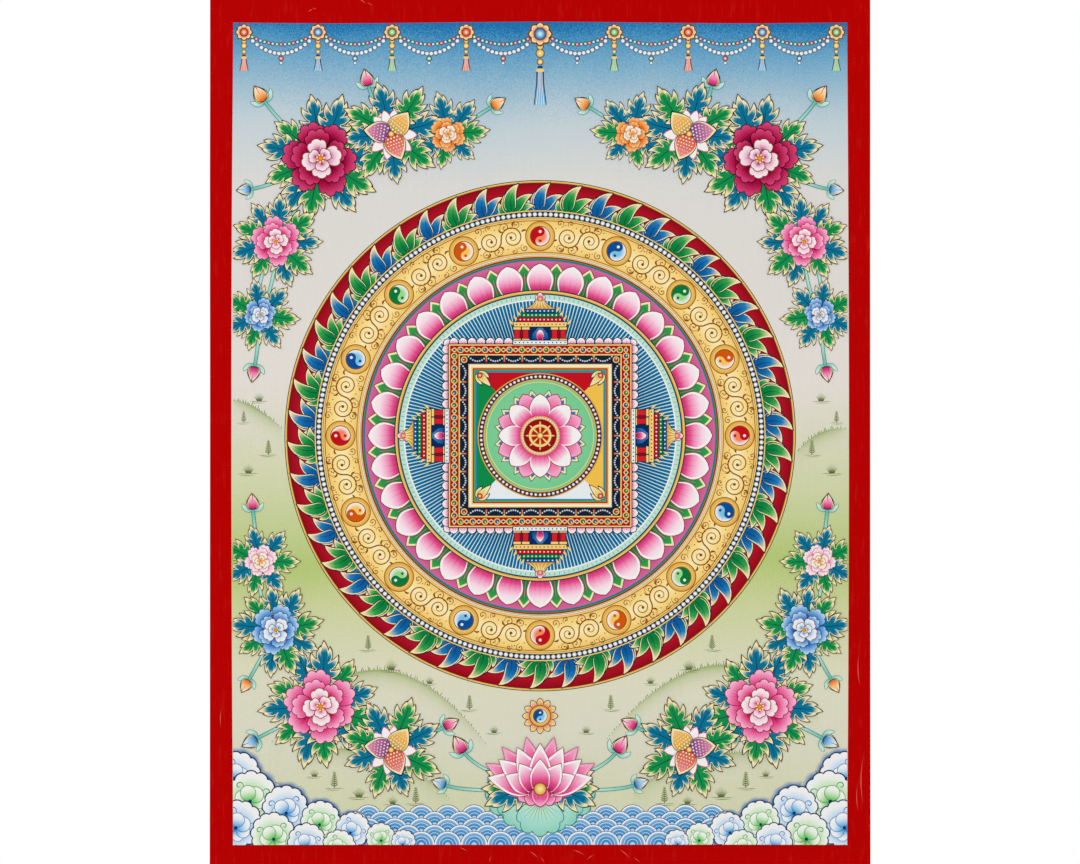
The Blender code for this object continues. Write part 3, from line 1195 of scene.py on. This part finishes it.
def draw_ground_lines(paint):
    for u, v, length in ((-6.5, -0.2, 8.0), (0.5, -0.4, 6.5), (-4.0, -1.4, 9.5)):
        line = bent_path((u, v), 88.0, length, 5.0, 5)
        stroke(paint, line, taper(6, 0.34, 0.05), 0, [GRASS_LIGHT, GRASS_INK, GRASS_LIGHT])


def draw_tuft(paint):
    """Blades that fan out from one foot."""
    draw_ground_lines(paint)
    for number in range(BLADES):
        off = number - BLADES // 2
        blade = bent_path((0.3 * off, 0.0), 3.6 * off, 6.2 - 0.45 * abs(off), 9.0 * off, 5)
        stroke(paint, blade, [0.4, 0.36, 0.3, 0.22, 0.14, 0.04], 1, [GRASS_INK, GRASS_LIGHT])


def draw_herb(paint):
    """An upright herb: a stem with pairs of small leaves that shorten towards its tip."""
    draw_ground_lines(paint)
    stem = bent_path((0.0, 0.0), -2.0, 11.0, 5.0, 6)
    stroke(paint, stem, [0.5, 0.45, 0.4, 0.35, 0.3, 0.2, 0.1], 1, [GRASS_INK])
    for pair in range(HERB_PAIRS):
        for side in (1, -1):
            leaf = bent_path((0.0, 1.2 + 1.4 * pair), side * 74.0, 3.2 - 0.34 * pair, -side * 46.0, 4)
            stroke(paint, leaf, [0.2, 0.7, 0.8, 0.5, 0.05], 1.5, [GRASS_INK, GRASS_LIGHT])


grass = new_coat()
for hill in HILLS:
    draw_hill(grass, *hill)
plants = (draw_motif(draw_tuft), draw_motif(draw_herb))
for side in (1, -1):
    for u, v, size, herb in GRASS:
        stamp(grass, plants[herb], (side * u, v), GRASS_LEVEL, 0.0, size, side < 0)
finish_coat("meadow_grass", grass)


# ---- Foliage and flower motifs ----
# The painter's stock of plants, each drawn once: cut leaves shaded to cream, peonies, dotted seed
# pods and buds. Petals are washed from a deep foot to a pale rim, then outlined in their own colour.
TURQUOISE = "B4E3D3"
TURQUOISE_DEEP = "5DBBAA"
TURQUOISE_INK = "2C7F78"
STAMEN_ORANGE = "E0761C"
# pigments from the foot to the rim of the outer petals, those of the inner ones, and the line
FLOWER_KINDS = {
    "magenta": (("3E0320", "74042C", "B30C46", "D84B7E"), ("8E1648", "D67AA6", "F6D3E2", WHITE), "3C041E"),
    "pink": (("A80A38", "D2165A", "EE5E9C", "FBC2DB"), ("D23A50", "F08FB4", PALE_PINK, WHITE), "8C0F48"),
    "orange": (("A82E08", "DE560E", "F58E30", "FCCF92"), ("D9601C", "F8B26A", "FDE8CC", WHITE), "8A2A08"),
    "blue": (("0A3A84", "155AB0", "5196DA", "C4E0F4"), ("2A68B4", "94BFE6", "E0EDF7", WHITE), "0F2F66"),
    "white": (("C82E66", "EC7FA8", "F9CEDD", WHITE), ("D9761C", "F6BC78", "FDEBD2", WHITE), "A8285E"),
}
# outline petals in each row of a peony: count, distance of the foot, length, half spread, scallops
PETAL_ROWS = (
    (6, 4.8, 15.4, 46.0, 4), (5, 2.4, 12.8, 48.0, 4), (4, 1.0, 9.8, 52.0, 3), (3, 0.3, 6.4, 58.0, 3),
)
PEONY_RADIUS = 20.0
PEONY_STAMENS = 7
SCALLOP_DEPTH = 0.11
PETAL_LINE = 0.84
# share of its size at which each inner ring of a wash lies
WASH_RINGS = (1.0, 0.8, 0.55, 0.3)
# pigments from the foot to the tip of each pod, and its direction
PODS = (
    (("5D6B1F", "DDAF45", "F0B354", "F5C97B"), -62.0),
    (("2E2F73", "A0568F", "C4749C", "E593AE"), 58.0),
    (("BF3C12", "E0693F", "E27A74", "EE9A97"), 178.0),
)
POD_LENGTH = 19.5
POD_FULLEST = 0.72
SEED_ROWS = 6
SEED_FOOT = 3.0
SEED_ROW_GAP = 2.3
SEED_GAP = 1.05
SEED_REACH = 4.9
# foot on the midrib, direction in degrees, length and width of the lobes on one side of a leaf
LEAF_LOBES = (
    (0.0, 124.0, 10.2, 4.3), (2.4, 99.0, 13.0, 4.7), (6.0, 73.0, 13.8, 4.7), (9.6, 46.0, 12.0, 4.3),
)
LEAF_FULLEST = 0.7
LEAF_COATS = 5
LEAF_STEP = 0.09


def from_foot(stops, reach):
    """A pigment that changes with the distance from a motif's foot."""
    return lambda u, v: blend(stops, math.hypot(u, v) / reach)


def wash(paint, outline, heart, level, pigment):
    """A closed shape that is shaded between its rim and its heart."""
    points = [paint.verts.new((u, v, level)) for u, v in outline]
    face = paint.faces.new(points)
    about_heart = Matrix.Translation((-heart[0], -heart[1], -level))
    for outer, inner in zip(WASH_RINGS, WASH_RINGS[1:]):
        bmesh.ops.inset_individual(paint, faces=[face], thickness=0.0)
        size = (inner / outer, inner / outer, 1.0)
        bmesh.ops.scale(paint, vec=size, space=about_heart, verts=face.verts)
        points += face.verts
    middle = bmesh.ops.poke(paint, faces=[face])["verts"]
    middle[0].co = (*heart, level)
    tint(paint, points + middle, pigment)


def draw_outline(paint, outline, width, level, pigment):
    """A line of even width round a closed outline."""
    stroke(paint, outline + outline[:2], [width] * (len(outline) + 2), level, [pigment])


def fan_outline(radius, spread, scallops, steps=24):
    """The outline of a fan with a scalloped rim, from its foot."""
    outline = [(0.0, 0.0)]
    for step in range(steps + 1):
        share = step / steps * 2 - 1
        notch = 1 - SCALLOP_DEPTH * (1 - abs(math.sin(math.pi * scallops * step / steps)) ** 0.7)
        outline.append(towards(spread * share, radius * (1 - 0.45 * abs(share) ** 3.2) * notch))
    return outline


def draw_petal(paint, radius, spread, scallops, stops, line):
    """A peony petal: a line half covered by the shaded petal, and creases that run up from its foot."""
    outline = fan_outline(radius, spread, scallops)
    draw_outline(paint, outline, PETAL_LINE, 0, line)
    wash(paint, outline, (0.0, radius * 0.12), 0.5, from_foot(stops, radius))
    for lean in (-0.62, -0.3, 0.04, 0.36, 0.66):
        crease = bent_path((0.0, radius * 0.3), spread * lean, radius * 0.52, -14.0 * lean, 5)
        stroke(paint, crease, [0.1, 0.4, 0.42, 0.34, 0.2, 0.04], 1, stops[:3])


def draw_peony(paint, outer, inner, line, seed):
    """A peony seen from above: two rows of outer petals, pale cupped petals, and gold stamens."""
    hand = random.Random(seed)
    level = 0
    for row, (count, foot, radius, spread, scallops) in enumerate(PETAL_ROWS):
        stops, ink = (outer, line) if row < 2 else (inner, BROWN_INK)
        first = hand.uniform(0, 360)
        for number in range(count):
            degrees = first + 360 * number / count + hand.uniform(-7, 7)
            petal = draw_motif(draw_petal, radius * hand.uniform(0.9, 1.06), spread, scallops, stops, ink)
            stamp(paint, petal, towards(degrees, foot), level, degrees)
            level += 1.5
    disc(paint, 2.1, level, ["F4B43C", STAMEN_ORANGE, BROWN_INK], 12)
    for number in range(PEONY_STAMENS):
        disc(paint, 0.55, level + 0.5, [WHITE, GOLD], 7, middle=towards(360.0 * number / PEONY_STAMENS, 1.9))


def draw_pods(paint):
    """Three ripe pods with rows of white seeds, and pink and white petals between them."""
    petal = draw_motif(draw_lotus_petal, 18.0, 8.6, ROSE, WHITE, [ROSE, PINK, WHITE, WHITE])
    for number, lean in enumerate((-112.0, 112.0, 150.0, -150.0, -28.0, 26.0, -2.0)):
        stamp(paint, petal, (0.0, 0.0), 1.3 * number, lean, 1.0 if abs(lean) > 100.0 else 0.95)
    for number, (stops, degrees) in enumerate(PODS):
        level = 9.5 + 4 * number
        lobe(paint, (0.0, 0.0), degrees, POD_LENGTH, 15.0, 8.0, level, stops, POD_FULLEST)
        for row in range(SEED_ROWS):
            along = SEED_FOOT + SEED_ROW_GAP * row
            heading = degrees + 8.0 * along / POD_LENGTH
            reach = SEED_REACH * math.sin(math.pi * (along / POD_LENGTH) ** POD_FULLEST)
            gaps = round(reach / SEED_GAP)
            for seed in range(gaps + 1):
                across = (2 * seed / gaps - 1) * reach
                place = towards(heading + 90.0, across, towards(heading, along))
                disc(paint, 0.85 - 0.09 * row, level + 2.5, [WHITE, WHITE, stops[1]], 7, middle=place)
    disc(paint, 2.4, 22, [BROWN_INK], 12)
    disc(paint, 2.0, 22.5, [GOLD_PALE, GOLD, STAMEN_ORANGE], 12)


def draw_leaf(paint, deep, mid):
    """A cut leaf: lobes on both sides of a midrib and one at its tip. The body's pigment runs out into
    the cream tips, and cream lines run in from the notches."""
    stops = [deep, deep, deep, deep, mid, CREAM, CREAM]
    lobe(paint, (0.0, -1.5), 0.0, 18.0, 10.0, 0.0, 0, [deep])
    level = 0
    for foot, degrees, length, width in LEAF_LOBES:
        for side in (1, -1):
            level += LEAF_STEP
            lobe(paint, (0.0, foot), side * degrees, length, width, -side * 62.0, level, stops, LEAF_FULLEST)
            way = side * (degrees - 16.0)
            notch = bent_path((side * 1.4, foot + 2.4), way, length * 0.40, -side * 34.0, 4)
            stroke(paint, notch, [0.06, 0.24, 0.36, 0.36, 0.1], 3, [deep, mid, CREAM])
    lobe(paint, (0.0, 10.5), 0.0, 14.0, 5.6, 10.0, level + LEAF_STEP, stops, LEAF_FULLEST)
    rib = [(0.0, -3.0), (0.0, 2.0), (0.0, 7.0), (0.0, 12.0), (0.4, 17.5)]
    stroke(paint, rib, [0.7, 0.5, 0.45, 0.35, 0.1], 3.5, [INK])


def draw_bud(paint, stops):
    """A closed bud between two curved sepals."""
    for side in (1, -1):
        sepal = bent_path((side * 0.4, -0.6), side * 100.0, 10.5, -side * 84.0)
        stroke(paint, sepal, [width + 0.6 for width in lobe_widths(4.4)], 0, [TURQUOISE_INK])
        stroke(paint, sepal, lobe_widths(4.4), 1, [TURQUOISE_DEEP, TURQUOISE, "D5F0E6"])
    for number, (lean, length) in enumerate(((-18.0, 10.5), (18.0, 10.5), (0.0, 12.5))):
        lobe(paint, (0.0, -0.6), lean, length, 8.4, -1.2 * lean, 2 + 2.5 * number, stops, 0.66)
    tip = bent_path((-0.4, 11.6), 182.0, 6.5, -14.0, 5)
    stroke(paint, tip, [0.9, 0.7, 0.5, 0.4, 0.3, 0.1], 10, [stops[0]])


peonies = {
    kind: draw_motif(draw_peony, *shades, seed) for seed, (kind, shades) in enumerate(FLOWER_KINDS.items())
}
peonies["pods"] = draw_motif(draw_pods)
leaves = (draw_motif(draw_leaf, "087294", "4C9DB0"), draw_motif(draw_leaf, "118E4C", "69B566"))
buds = {
    "pink": draw_motif(draw_bud, [MAGENTA, ROSE, PINK, PALE_PINK]),
    "orange": draw_motif(draw_bud, ["D9541A", "F6A04E", "FBD3A0", "FDEFD2"]),
    "blue": draw_motif(draw_bud, ["1B57A5", "7DB6E2", "C3DFF2", WHITE]),
}


# ---- Flower sprays ----
# Garlands in the picture's four corners, drawn for one side and turned over for the other. Stalks lie
# lowest, then buds and leaves, and the flowers were painted last.
# kind, u, v and size of each flower, how many leaves are round it, and how far the first is turned
UPPER_FLOWERS = (
    ("orange", 60.0, -88.0, 0.58, 7, 20.0),
    ("pods", 97.0, -88.0, 0.92, 8, 8.0),
    ("magenta", 143.0, -104.0, 1.22, 11, 12.0),
    ("pink", 172.0, -158.0, 0.80, 9, 30.0),
    ("blue", 182.0, -206.0, 0.54, 7, 10.0),
)
LOWER_FLOWERS = (
    ("white", 182.0, -366.0, 0.54, 7, 15.0),
    ("blue", 172.0, -411.0, 0.80, 9, 5.0),
    ("pink", 143.0, -461.0, 1.18, 11, 28.0),
    ("pods", 97.0, -489.0, 0.90, 8, 20.0),
)
# kind, number of the flower that it grows from, u, v, direction in degrees clockwise from up, and size
UPPER_BUDS = (
    ("pink", 4, 186.0, -240.0, 170.0, 0.80),
    ("orange", 0, 31.0, -70.0, -58.0, 0.80),
    ("pink", 1, 112.0, -56.0, 14.0, 0.85),
    ("orange", 2, 180.0, -66.0, 34.0, 0.90),
    ("blue", 2, 189.0, -124.0, 96.0, 0.72),
)
LOWER_BUDS = (
    ("pink", 0, 187.0, -332.0, 4.0, 0.80),
    ("orange", 1, 190.0, -444.0, 150.0, 0.72),
    ("blue", 2, 185.0, -482.0, 118.0, 0.85),
    ("pink", 3, 62.0, -474.0, -62.0, 0.82),
)
SPRAY_LEVEL = 22
FLOWER_TURN = 20.0
STALK_WIDTH = 1.6
STALK_LINE = 0.35
STALK_STEPS = 12
STALK_SAGS = (10.0, -6.0)
BUD_STALK = 16.0


def draw_stalk(paint, start, bend, end, level):
    """A turquoise stalk with ink edges, which leaves start towards bend and reaches end from there."""
    shares = [step / STALK_STEPS for step in range(STALK_STEPS + 1)]
    path = [curve_point(Vector(start), Vector(bend), Vector(end), share) for share in shares]
    stroke(paint, path, [STALK_WIDTH + 2 * STALK_LINE] * len(path), level, [TURQUOISE_INK])
    stops = [TURQUOISE_DEEP, TURQUOISE, TURQUOISE_DEEP]
    stroke(paint, path, [STALK_WIDTH] * len(path), level + 1, stops)


def add_bud(paint, kind, start, place, degrees, size, level, mirror):
    """A bud at place that points in the direction degrees, on a stalk from start."""
    draw_stalk(paint, start, towards(degrees, -BUD_STALK, place), place, level)
    stamp(paint, buds[kind], place, level + 2, degrees, size, mirror)


def make_spray(name, flowers, spray_buds, side):
    """One corner's spray. The side is 1 on the right and -1 on the left."""
    spray = new_coat()
    left = side < 0
    for (_, u, v, *_), (_, next_u, next_v, *_) in zip(flowers, flowers[1:]):
        start, end = Vector((side * u, v)), Vector((side * next_u, next_v))
        across = side * Vector((v - next_v, next_u - u)).normalized()
        for sag in STALK_SAGS:
            draw_stalk(spray, start, (start + end) / 2 + across * sag, end, SPRAY_LEVEL)
    for kind, flower, u, v, degrees, size in spray_buds:
        start = (side * flowers[flower][1], flowers[flower][2])
        add_bud(spray, kind, start, (side * u, v), side * degrees, size, SPRAY_LEVEL + 2, left)
    for flower, (kind, u, v, size, count, first) in enumerate(flowers):
        hand = random.Random(count + round(u))
        for number in range(count):
            degrees = side * (first + 360.0 * number / count + hand.uniform(-8, 8))
            place = towards(degrees, PEONY_RADIUS * size * hand.uniform(0.66, 0.82), (side * u, v))
            grown = (0.50 + 0.36 * size) * hand.uniform(0.88, 1.12)
            level = SPRAY_LEVEL + 14 + LEAF_COATS * (number % 3 + 3 * (flower % 2))
            stamp(spray, leaves[number % 2], place, level, degrees, grown, left)
    level = SPRAY_LEVEL + 15 + 6 * LEAF_COATS
    for kind, u, v, size, *_ in flowers:
        stamp(spray, peonies[kind], (side * u, v), level, side * FLOWER_TURN, size, left)
    crop_to_picture(spray)
    finish_coat(name, spray)


for side, side_name in ((1, "right"), (-1, "left")):
    make_spray("flower_spray_upper_" + side_name, UPPER_FLOWERS, UPPER_BUDS, side)
    make_spray("flower_spray_lower_" + side_name, LOWER_FLOWERS, LOWER_BUDS, side)


# ---- Jewel swags ----
# Strings of pearls and coloured beads looped along the top edge, with a gold rosette and a
# tasselled pendant where they meet, and a larger pendant in the middle.
SWAGS = 8
SWAG_SPAN = 2 * (PICTURE_HALF - 7.0) / SWAGS
SWAG_TOP = PICTURE_TOP - 6.2
SWAG_LEVEL = 5
PEARL_SAG = 14.0
PEARL_GAP = 3.1
BEAD_SAG = 8.0
BEAD_GAP = 2.8
BEAD_COLOURS = (("F3A58F", RUBY), ("D5E8F2", LAPIS), ("C8EBC0", EMERALD))


def draw_bead(paint, radius, light, deep):
    disc(paint, radius + 0.28, 0, [INK], 10)
    disc(paint, radius, 1, [WHITE, light, deep], 10)


def draw_pendant(paint, deep, light, length):
    """A rosette with three beads and a silk tassel hanging from it."""
    petal = draw_motif(draw_lotus_petal, 3.4, 3.0, BROWN_INK, GOLD_PALE, [GOLD_DEEP, GOLD])
    for number in range(8):
        stamp(paint, petal, (0.0, 0.0), 10, 45.0 * number, 1.4)
    disc(paint, 2.9, 14, [BROWN_INK], 14)
    disc(paint, 2.4, 15, [WHITE, light, deep], 14)
    drop = -5.5
    for radius in (1.3, 1.7, 1.2):
        stamp(paint, draw_motif(draw_bead, radius, GOLD, GOLD_DEEP), (0.0, drop), 2)
        drop -= radius * 2 + 0.3
    tassel = [(0.0, drop + 1.0), (0.0, drop - 1.0), (0.0, drop - length * 0.4), (0.0, drop - length)]
    stroke(paint, tassel, [1.6, 3.2, 3.4, 5.6], 0, [INK])
    stroke(paint, tassel, [0.9, 2.5, 2.7, 4.9], 1, [deep, deep, light])
    for lean in (-1.5, -0.5, 0.5, 1.5):
        thread = [(lean * 0.5, drop - 1.5), (lean * 0.6, drop - length * 0.5), (lean * 1.1, drop - length)]
        stroke(paint, thread, [0.25, 0.25, 0.25], 2, [WHITE])
    stroke(paint, [(0.0, drop - 0.2), (0.0, drop - 1.6)], [3.0, 3.4], 3, [GOLD])


swags = new_coat()
pearl = draw_motif(draw_bead, 1.4, WHITE, PEARL_SHADE)
beads = [draw_motif(draw_bead, 1.1, light, deep) for light, deep in BEAD_COLOURS]
first = -SWAG_SPAN * SWAGS / 2
for swag in range(SWAGS):
    middle = first + SWAG_SPAN * (swag + 0.5)
    for sag, gap, kinds in ((PEARL_SAG, PEARL_GAP, [pearl]), (BEAD_SAG, BEAD_GAP, beads)):
        count = round(math.hypot(SWAG_SPAN, sag * 1.4) / gap)
        for number in range(count + 1):
            share = 2 * number / count - 1
            place = (middle + SWAG_SPAN / 2 * share, SWAG_TOP - sag * (1 - share * share))
            stamp(swags, kinds[number % len(kinds)], place, SWAG_LEVEL)
    for motif, drop, size in ((beads[swag % 3], 3.2, 1.3), (pearl, 6.2, 0.7)):
        stamp(swags, motif, (middle, SWAG_TOP - PEARL_SAG - drop), SWAG_LEVEL, 0.0, size)
for join in range(SWAGS + 1):
    length, size = (16.0, 1.5) if join == SWAGS // 2 else (9.0, 1.05)
    pendant = draw_motif(draw_pendant, *JEWEL_COLOURS[join % 3], length)
    place = (first + SWAG_SPAN * join, SWAG_TOP - 2.5 * (size - 1))
    stamp(swags, pendant, place, SWAG_LEVEL + 3, 0.0, size)
crop_to_picture(swags)
finish_coat("jewel_swags", swags)


# ---- Cloud bank ----
# Rolls of cloud in the lower corners, white on their rims and washed blue or green inwards, with puffs
# round a dark eye in each, and a dark-blue edge that was softened into the ground with a damp brush.
# u and v of a roll's middle, its radius, and whether it is green
CLOUD_ROLLS = (
    (197.0, -505.0, 15.0, False), (188.0, -519.0, 16.5, True), (166.0, -527.0, 15.0, False),
    (196.0, -537.0, 15.5, False), (143.0, -535.0, 13.0, True), (174.0, -544.0, 14.5, True),
    (122.0, -541.0, 11.5, False), (152.0, -549.0, 12.5, False), (104.0, -546.0, 9.5, True),
    (131.0, -552.0, 11.0, True), (89.0, -549.0, 8.0, False),
)
CLOUD_BLUE = ("1F6DB5", "5AA2D8", "A5CDEC", "DCEBF6", WHITE)
CLOUD_GREEN = ("2E9A48", "6CC06E", "AEDDA0", "DFF1D8", WHITE)
CLOUD_INK = "17335E"
CLOUD_EYE = (0.0, -2.2)
CLOUD_LEVEL = 27
HALO_LEVEL = 4.5
SCALLOPS = 12
# direction in degrees and size of each puff
PUFFS = ((-128.0, 0.80), (132.0, 0.85), (-76.0, 0.95), (78.0, 0.95), (-26.0, 1.05), (27.0, 1.00))


def cloud_outline(radius, middle=(0.0, 0.0)):
    """A round outline made of small arcs."""
    outline = []
    for step in range(SCALLOPS * 6):
        arc = abs(math.sin(math.pi * step / 6)) ** 0.6
        outline.append(towards(60.0 * step / SCALLOPS, radius * (0.91 + 0.09 * arc), middle))
    return outline


def draw_halo(paint, place, radius):
    """A damp dark-blue edge round a roll, which fades into the ground."""

    def fade(u, v):
        spread = min(max(math.dist((u, v), place) / radius - 0.98, 0.0) / 0.20, 1.0)
        return mixed(linear(CLOUD_BLUE[0]), ground_wash(v), spread)

    wash(paint, cloud_outline(radius * 1.22, place), place, HALO_LEVEL, fade)


def draw_puff(paint, stops):
    """A puff of radius 3, deep at its foot and white at its top, inside a thin line."""
    disc(paint, 3.2, 0, [stops[0]], 18)
    outline = arc_points((0.0, 0.0), 2.95, 0.0, 340.0, 17)
    wash(paint, outline, (0.0, -0.4), 0.3, lambda u, v: blend(stops[1:], (v + 2.6) / 4.6))


def draw_cloud(paint, stops):
    """A roll of cloud of radius 10: its ink line, its wash, and puffs and curls round a dark eye."""

    def from_eye(u, v):
        return blend(stops, math.dist((u, v), CLOUD_EYE) / 9.6 - 0.05)

    outline = cloud_outline(10.0)
    wash(paint, outline, CLOUD_EYE, 0, from_eye)
    draw_outline(paint, outline, 0.5, 1.2, CLOUD_INK)
    puff = draw_motif(draw_puff, stops)
    for number, (lean, size) in enumerate(PUFFS):
        stamp(paint, puff, towards(lean, 3.3, CLOUD_EYE), 1.2 + 0.4 * number, lean, size)
    disc(paint, 0.75, 3.7, [CLOUD_INK], 9, middle=CLOUD_EYE)
    for side in (1, -1):
        curl = [(side * u, v) for u, v in spiral((5.6, 2.8), 1.9, 1.1, 215.0, 1, 14)]
        stroke(paint, curl, taper(len(curl), 0.42, 0.12), 1.2, [stops[0]])


clouds = new_coat()
rolls = [draw_motif(draw_cloud, stops) for stops in (CLOUD_BLUE, CLOUD_GREEN)]
for side in (1, -1):
    for number, (u, v, radius, green) in enumerate(CLOUD_ROLLS):
        place = (side * u, v)
        degrees = side * (number % 3 * 24.0 - 38.0)
        draw_halo(clouds, place, radius)
        stamp(clouds, rolls[green], place, CLOUD_LEVEL + 4.2 * number, degrees, radius / 10.0, side < 0)
crop_to_picture(clouds)
finish_coat("cloud_bank", clouds)


# ---- Foot lotus ----
# A full lotus seen from the side, which rises from the waves under the mandala, with a gold rosette
# over it, turquoise leaves like fans below, and two buds on each side.
LOTUS_FOOT = (0.0, -514.0)
ROSETTE_MIDDLE = (0.0, -467.0)
LOTUS_LEVEL = 22
FAN_RADIUS = 24.0
# u, drop below the lotus's foot, direction, size and level of the fans on the right
SIDE_FANS = ((8.0, 2.0, 94.0, 1.15, 12), (6.0, 5.0, 138.0, 1.0, 14))
# kind, u and rise over the lotus's foot, direction and size of the buds on the right
SIDE_BUDS = (("pink", 50.0, 24.0, 32.0, 0.95), ("blue", 62.0, 2.0, 70.0, 0.75))
# length, width, rim, pigments, whether it is pointed, rise of the foot, and directions of the petals
LOTUS_ROWS = (
    (13.0, 12.0, PINK, (MAGENTA, ROSE, ROSE, PINK), False, 1.0,
     (-112.0, 112.0, -134.0, 134.0, -157.0, 157.0, 180.0)),
    (34.0, 16.0, PINK, (MAGENTA, MAGENTA, ROSE, PINK), True, 0.0, (-62.0, 62.0, -38.0, 38.0, -13.0, 13.0)),
    (29.0, 17.5, WHITE, (MAGENTA, ROSE, ROSE, PINK, WHITE), True, 0.0,
     (-76.0, 76.0, -50.0, 50.0, -25.0, 25.0, 0.0)),
    (19.0, 16.0, WHITE, (MAGENTA, ROSE, PINK, WHITE), True, 0.0, (-64.0, 64.0, -33.0, 33.0, 0.0)),
)


def draw_fan_leaf(paint, radius):
    """A lotus leaf seen from the side: a scalloped turquoise fan with fine ribs."""
    outline = fan_outline(radius, 63.2, 5, 30)
    draw_outline(paint, outline, 1.0, 0, TURQUOISE_INK)
    stops = ("DDE7A8", "CDE9C6", TURQUOISE, "A3DCCB", "8CD0BE")
    wash(paint, outline, (0.0, 2.5), 0.5, from_foot(stops, radius))
    for lean in range(-54, 55, 12):
        rib = bent_path((0.0, 2.0), lean, radius * 0.62, lean * 0.1, 6)
        stroke(paint, rib, [0.12, 0.36, 0.36, 0.3, 0.24, 0.16, 0.04], 1, [TURQUOISE_INK, TURQUOISE_DEEP])


lotus = new_coat()
fan = draw_motif(draw_fan_leaf, FAN_RADIUS)
lotus_v = LOTUS_FOOT[1]
for side in (1, -1):
    for kind, u, rise, degrees, size in SIDE_BUDS:
        place = (side * u, lotus_v + rise)
        add_bud(lotus, kind, LOTUS_FOOT, place, side * degrees, size, LOTUS_LEVEL, side < 0)
    for u, drop, degrees, size, level in SIDE_FANS:
        stamp(lotus, fan, (side * u, lotus_v - drop), LOTUS_LEVEL + level, side * degrees, size)
    for number, degrees in enumerate((58.0, 86.0, 112.0)):
        level = LOTUS_LEVEL + 18 + LEAF_COATS * number
        stamp(lotus, leaves[number % 2], (side * 13.0, lotus_v - 1.0), level, side * degrees, 1.02, side < 0)
stamp(lotus, fan, (0.0, lotus_v - 6.0), LOTUS_LEVEL + 16, 180.0, 1.05)
rosette = draw_motif(draw_lotus_petal, 5.6, 4.2, BROWN_INK, GOLD_PALE, [GOLD_DEEP, GOLD])
around(lotus, rosette, 5.6, 12, LOTUS_LEVEL + 18, middle=ROSETTE_MIDDLE)
stamp(lotus, draw_motif(draw_jewel, 6.6, *JEWEL_COLOURS[1]), ROSETTE_MIDDLE, LOTUS_LEVEL + 20)
level = LOTUS_LEVEL + 34
for length, width, rim, stops, pointed, rise, leans in LOTUS_ROWS:
    petal = draw_motif(draw_lotus_petal, length, width, MAGENTA, rim, stops, pointed)
    for lean in leans:
        place = (6.0 * math.sin(math.radians(lean)), lotus_v + rise)
        stamp(lotus, petal, place, level, lean)
        level += 1.5
for radius, coat, stops in ((4.2, 1, [BROWN_INK]), (3.7, 1.5, [GOLD_PALE, GOLD, GOLD_DEEP])):
    disc(lotus, radius, level + coat, stops, 20, middle=(0.0, lotus_v - 0.5))
crop_to_picture(lotus)
finish_coat("foot_lotus", lotus)


# ---- Studio ----
# A pale floor under the hanging cloth, a white surround, and soft lights from the front. The camera
# faces the picture from far off, as a copying camera does.
FLOOR_DROP = 0.19
FLOOR_SIZE = 3.0
FLOOR_FORWARD = 0.2
FLOOR_WHITE = "F2F1EF"
FLOOR_GRAIN = 0.025
# name, place, width and power of each light
LIGHTS = (("window_left", (-1.9, -2.2, 0.6), 1.2, 14.0), ("window_right", (1.8, -2.6, 0.2), 1.5, 8.0))
WORLD_LIGHT = 0.78
# The photograph is 1080 pixels wide and 864 high, with 0.6515 mm of cloth a pixel. The cloth's top
# edge is one pixel above it.
PIXEL = 0.0006515
VIEW_WIDTH = 1080 * PIXEL
VIEW_HEIGHT = 864 * PIXEL
VIEW_MIDDLE = -0.0001
CAMERA_DISTANCE = 2.4
SENSOR = 36.0

# Matt floor paint gives no reflection, and a grain too faint to see as a pattern.
floor_paint, tree = new_material("matt_floor")
facts = {"Vector": object_place(tree), "Scale": 1 / FLOOR_GRAIN}
grain = add_node(tree, "TexNoise", facts, "Fac")
colour = shade(tree, linear(FLOOR_WHITE), grain, darkest=0.985, lightest=1.0)
set_surface(tree, colour, {"Roughness": 0.9})
slab = bmesh.new()
bmesh.ops.create_grid(slab, x_segments=2, y_segments=2, size=FLOOR_SIZE / 2)
floor = add_object("floor", slab, floor_paint)
floor.location = (0.0, -FLOOR_FORWARD, -CANVAS_HEIGHT - FLOOR_DROP)

scene = bpy.context.scene
scene.view_settings.view_transform = "Standard"
for name, place, width, power in LIGHTS:
    lamp = bpy.data.lights.new(name, "AREA")
    lamp.shape = "DISK"
    lamp.size = width
    lamp.energy = power
    light = bpy.data.objects.new(name, lamp)
    light.location = place
    aim = Vector((0.0, 0.0, -CANVAS_HEIGHT / 2)) - Vector(place)
    light.rotation_euler = aim.to_track_quat("-Z", "Y").to_euler()
    scene.collection.objects.link(light)

scene.world = bpy.data.worlds.new("studio")
scene.world.use_nodes = True
tree = scene.world.node_tree
surround = tree.nodes["Background"]
surround.inputs["Color"].default_value = (1.0, 1.0, 1.0, 1.0)
seen = add_node(tree, "LightPath", {}, "Is Camera Ray")
strength = add_node(tree, "MapRange", {0: seen, 3: WORLD_LIGHT, 4: 1.0})
tree.links.new(strength, surround.inputs["Strength"])

lens = bpy.data.cameras.new("copy_camera")
lens.sensor_width = SENSOR
lens.lens = SENSOR * CAMERA_DISTANCE / VIEW_WIDTH
camera = bpy.data.objects.new("copy_camera", lens)
camera.location = (VIEW_MIDDLE, -CAMERA_DISTANCE, -PIXEL - VIEW_HEIGHT / 2)
camera.rotation_euler = (math.pi / 2, 0.0, 0.0)
scene.collection.objects.link(camera)
scene.camera = camera
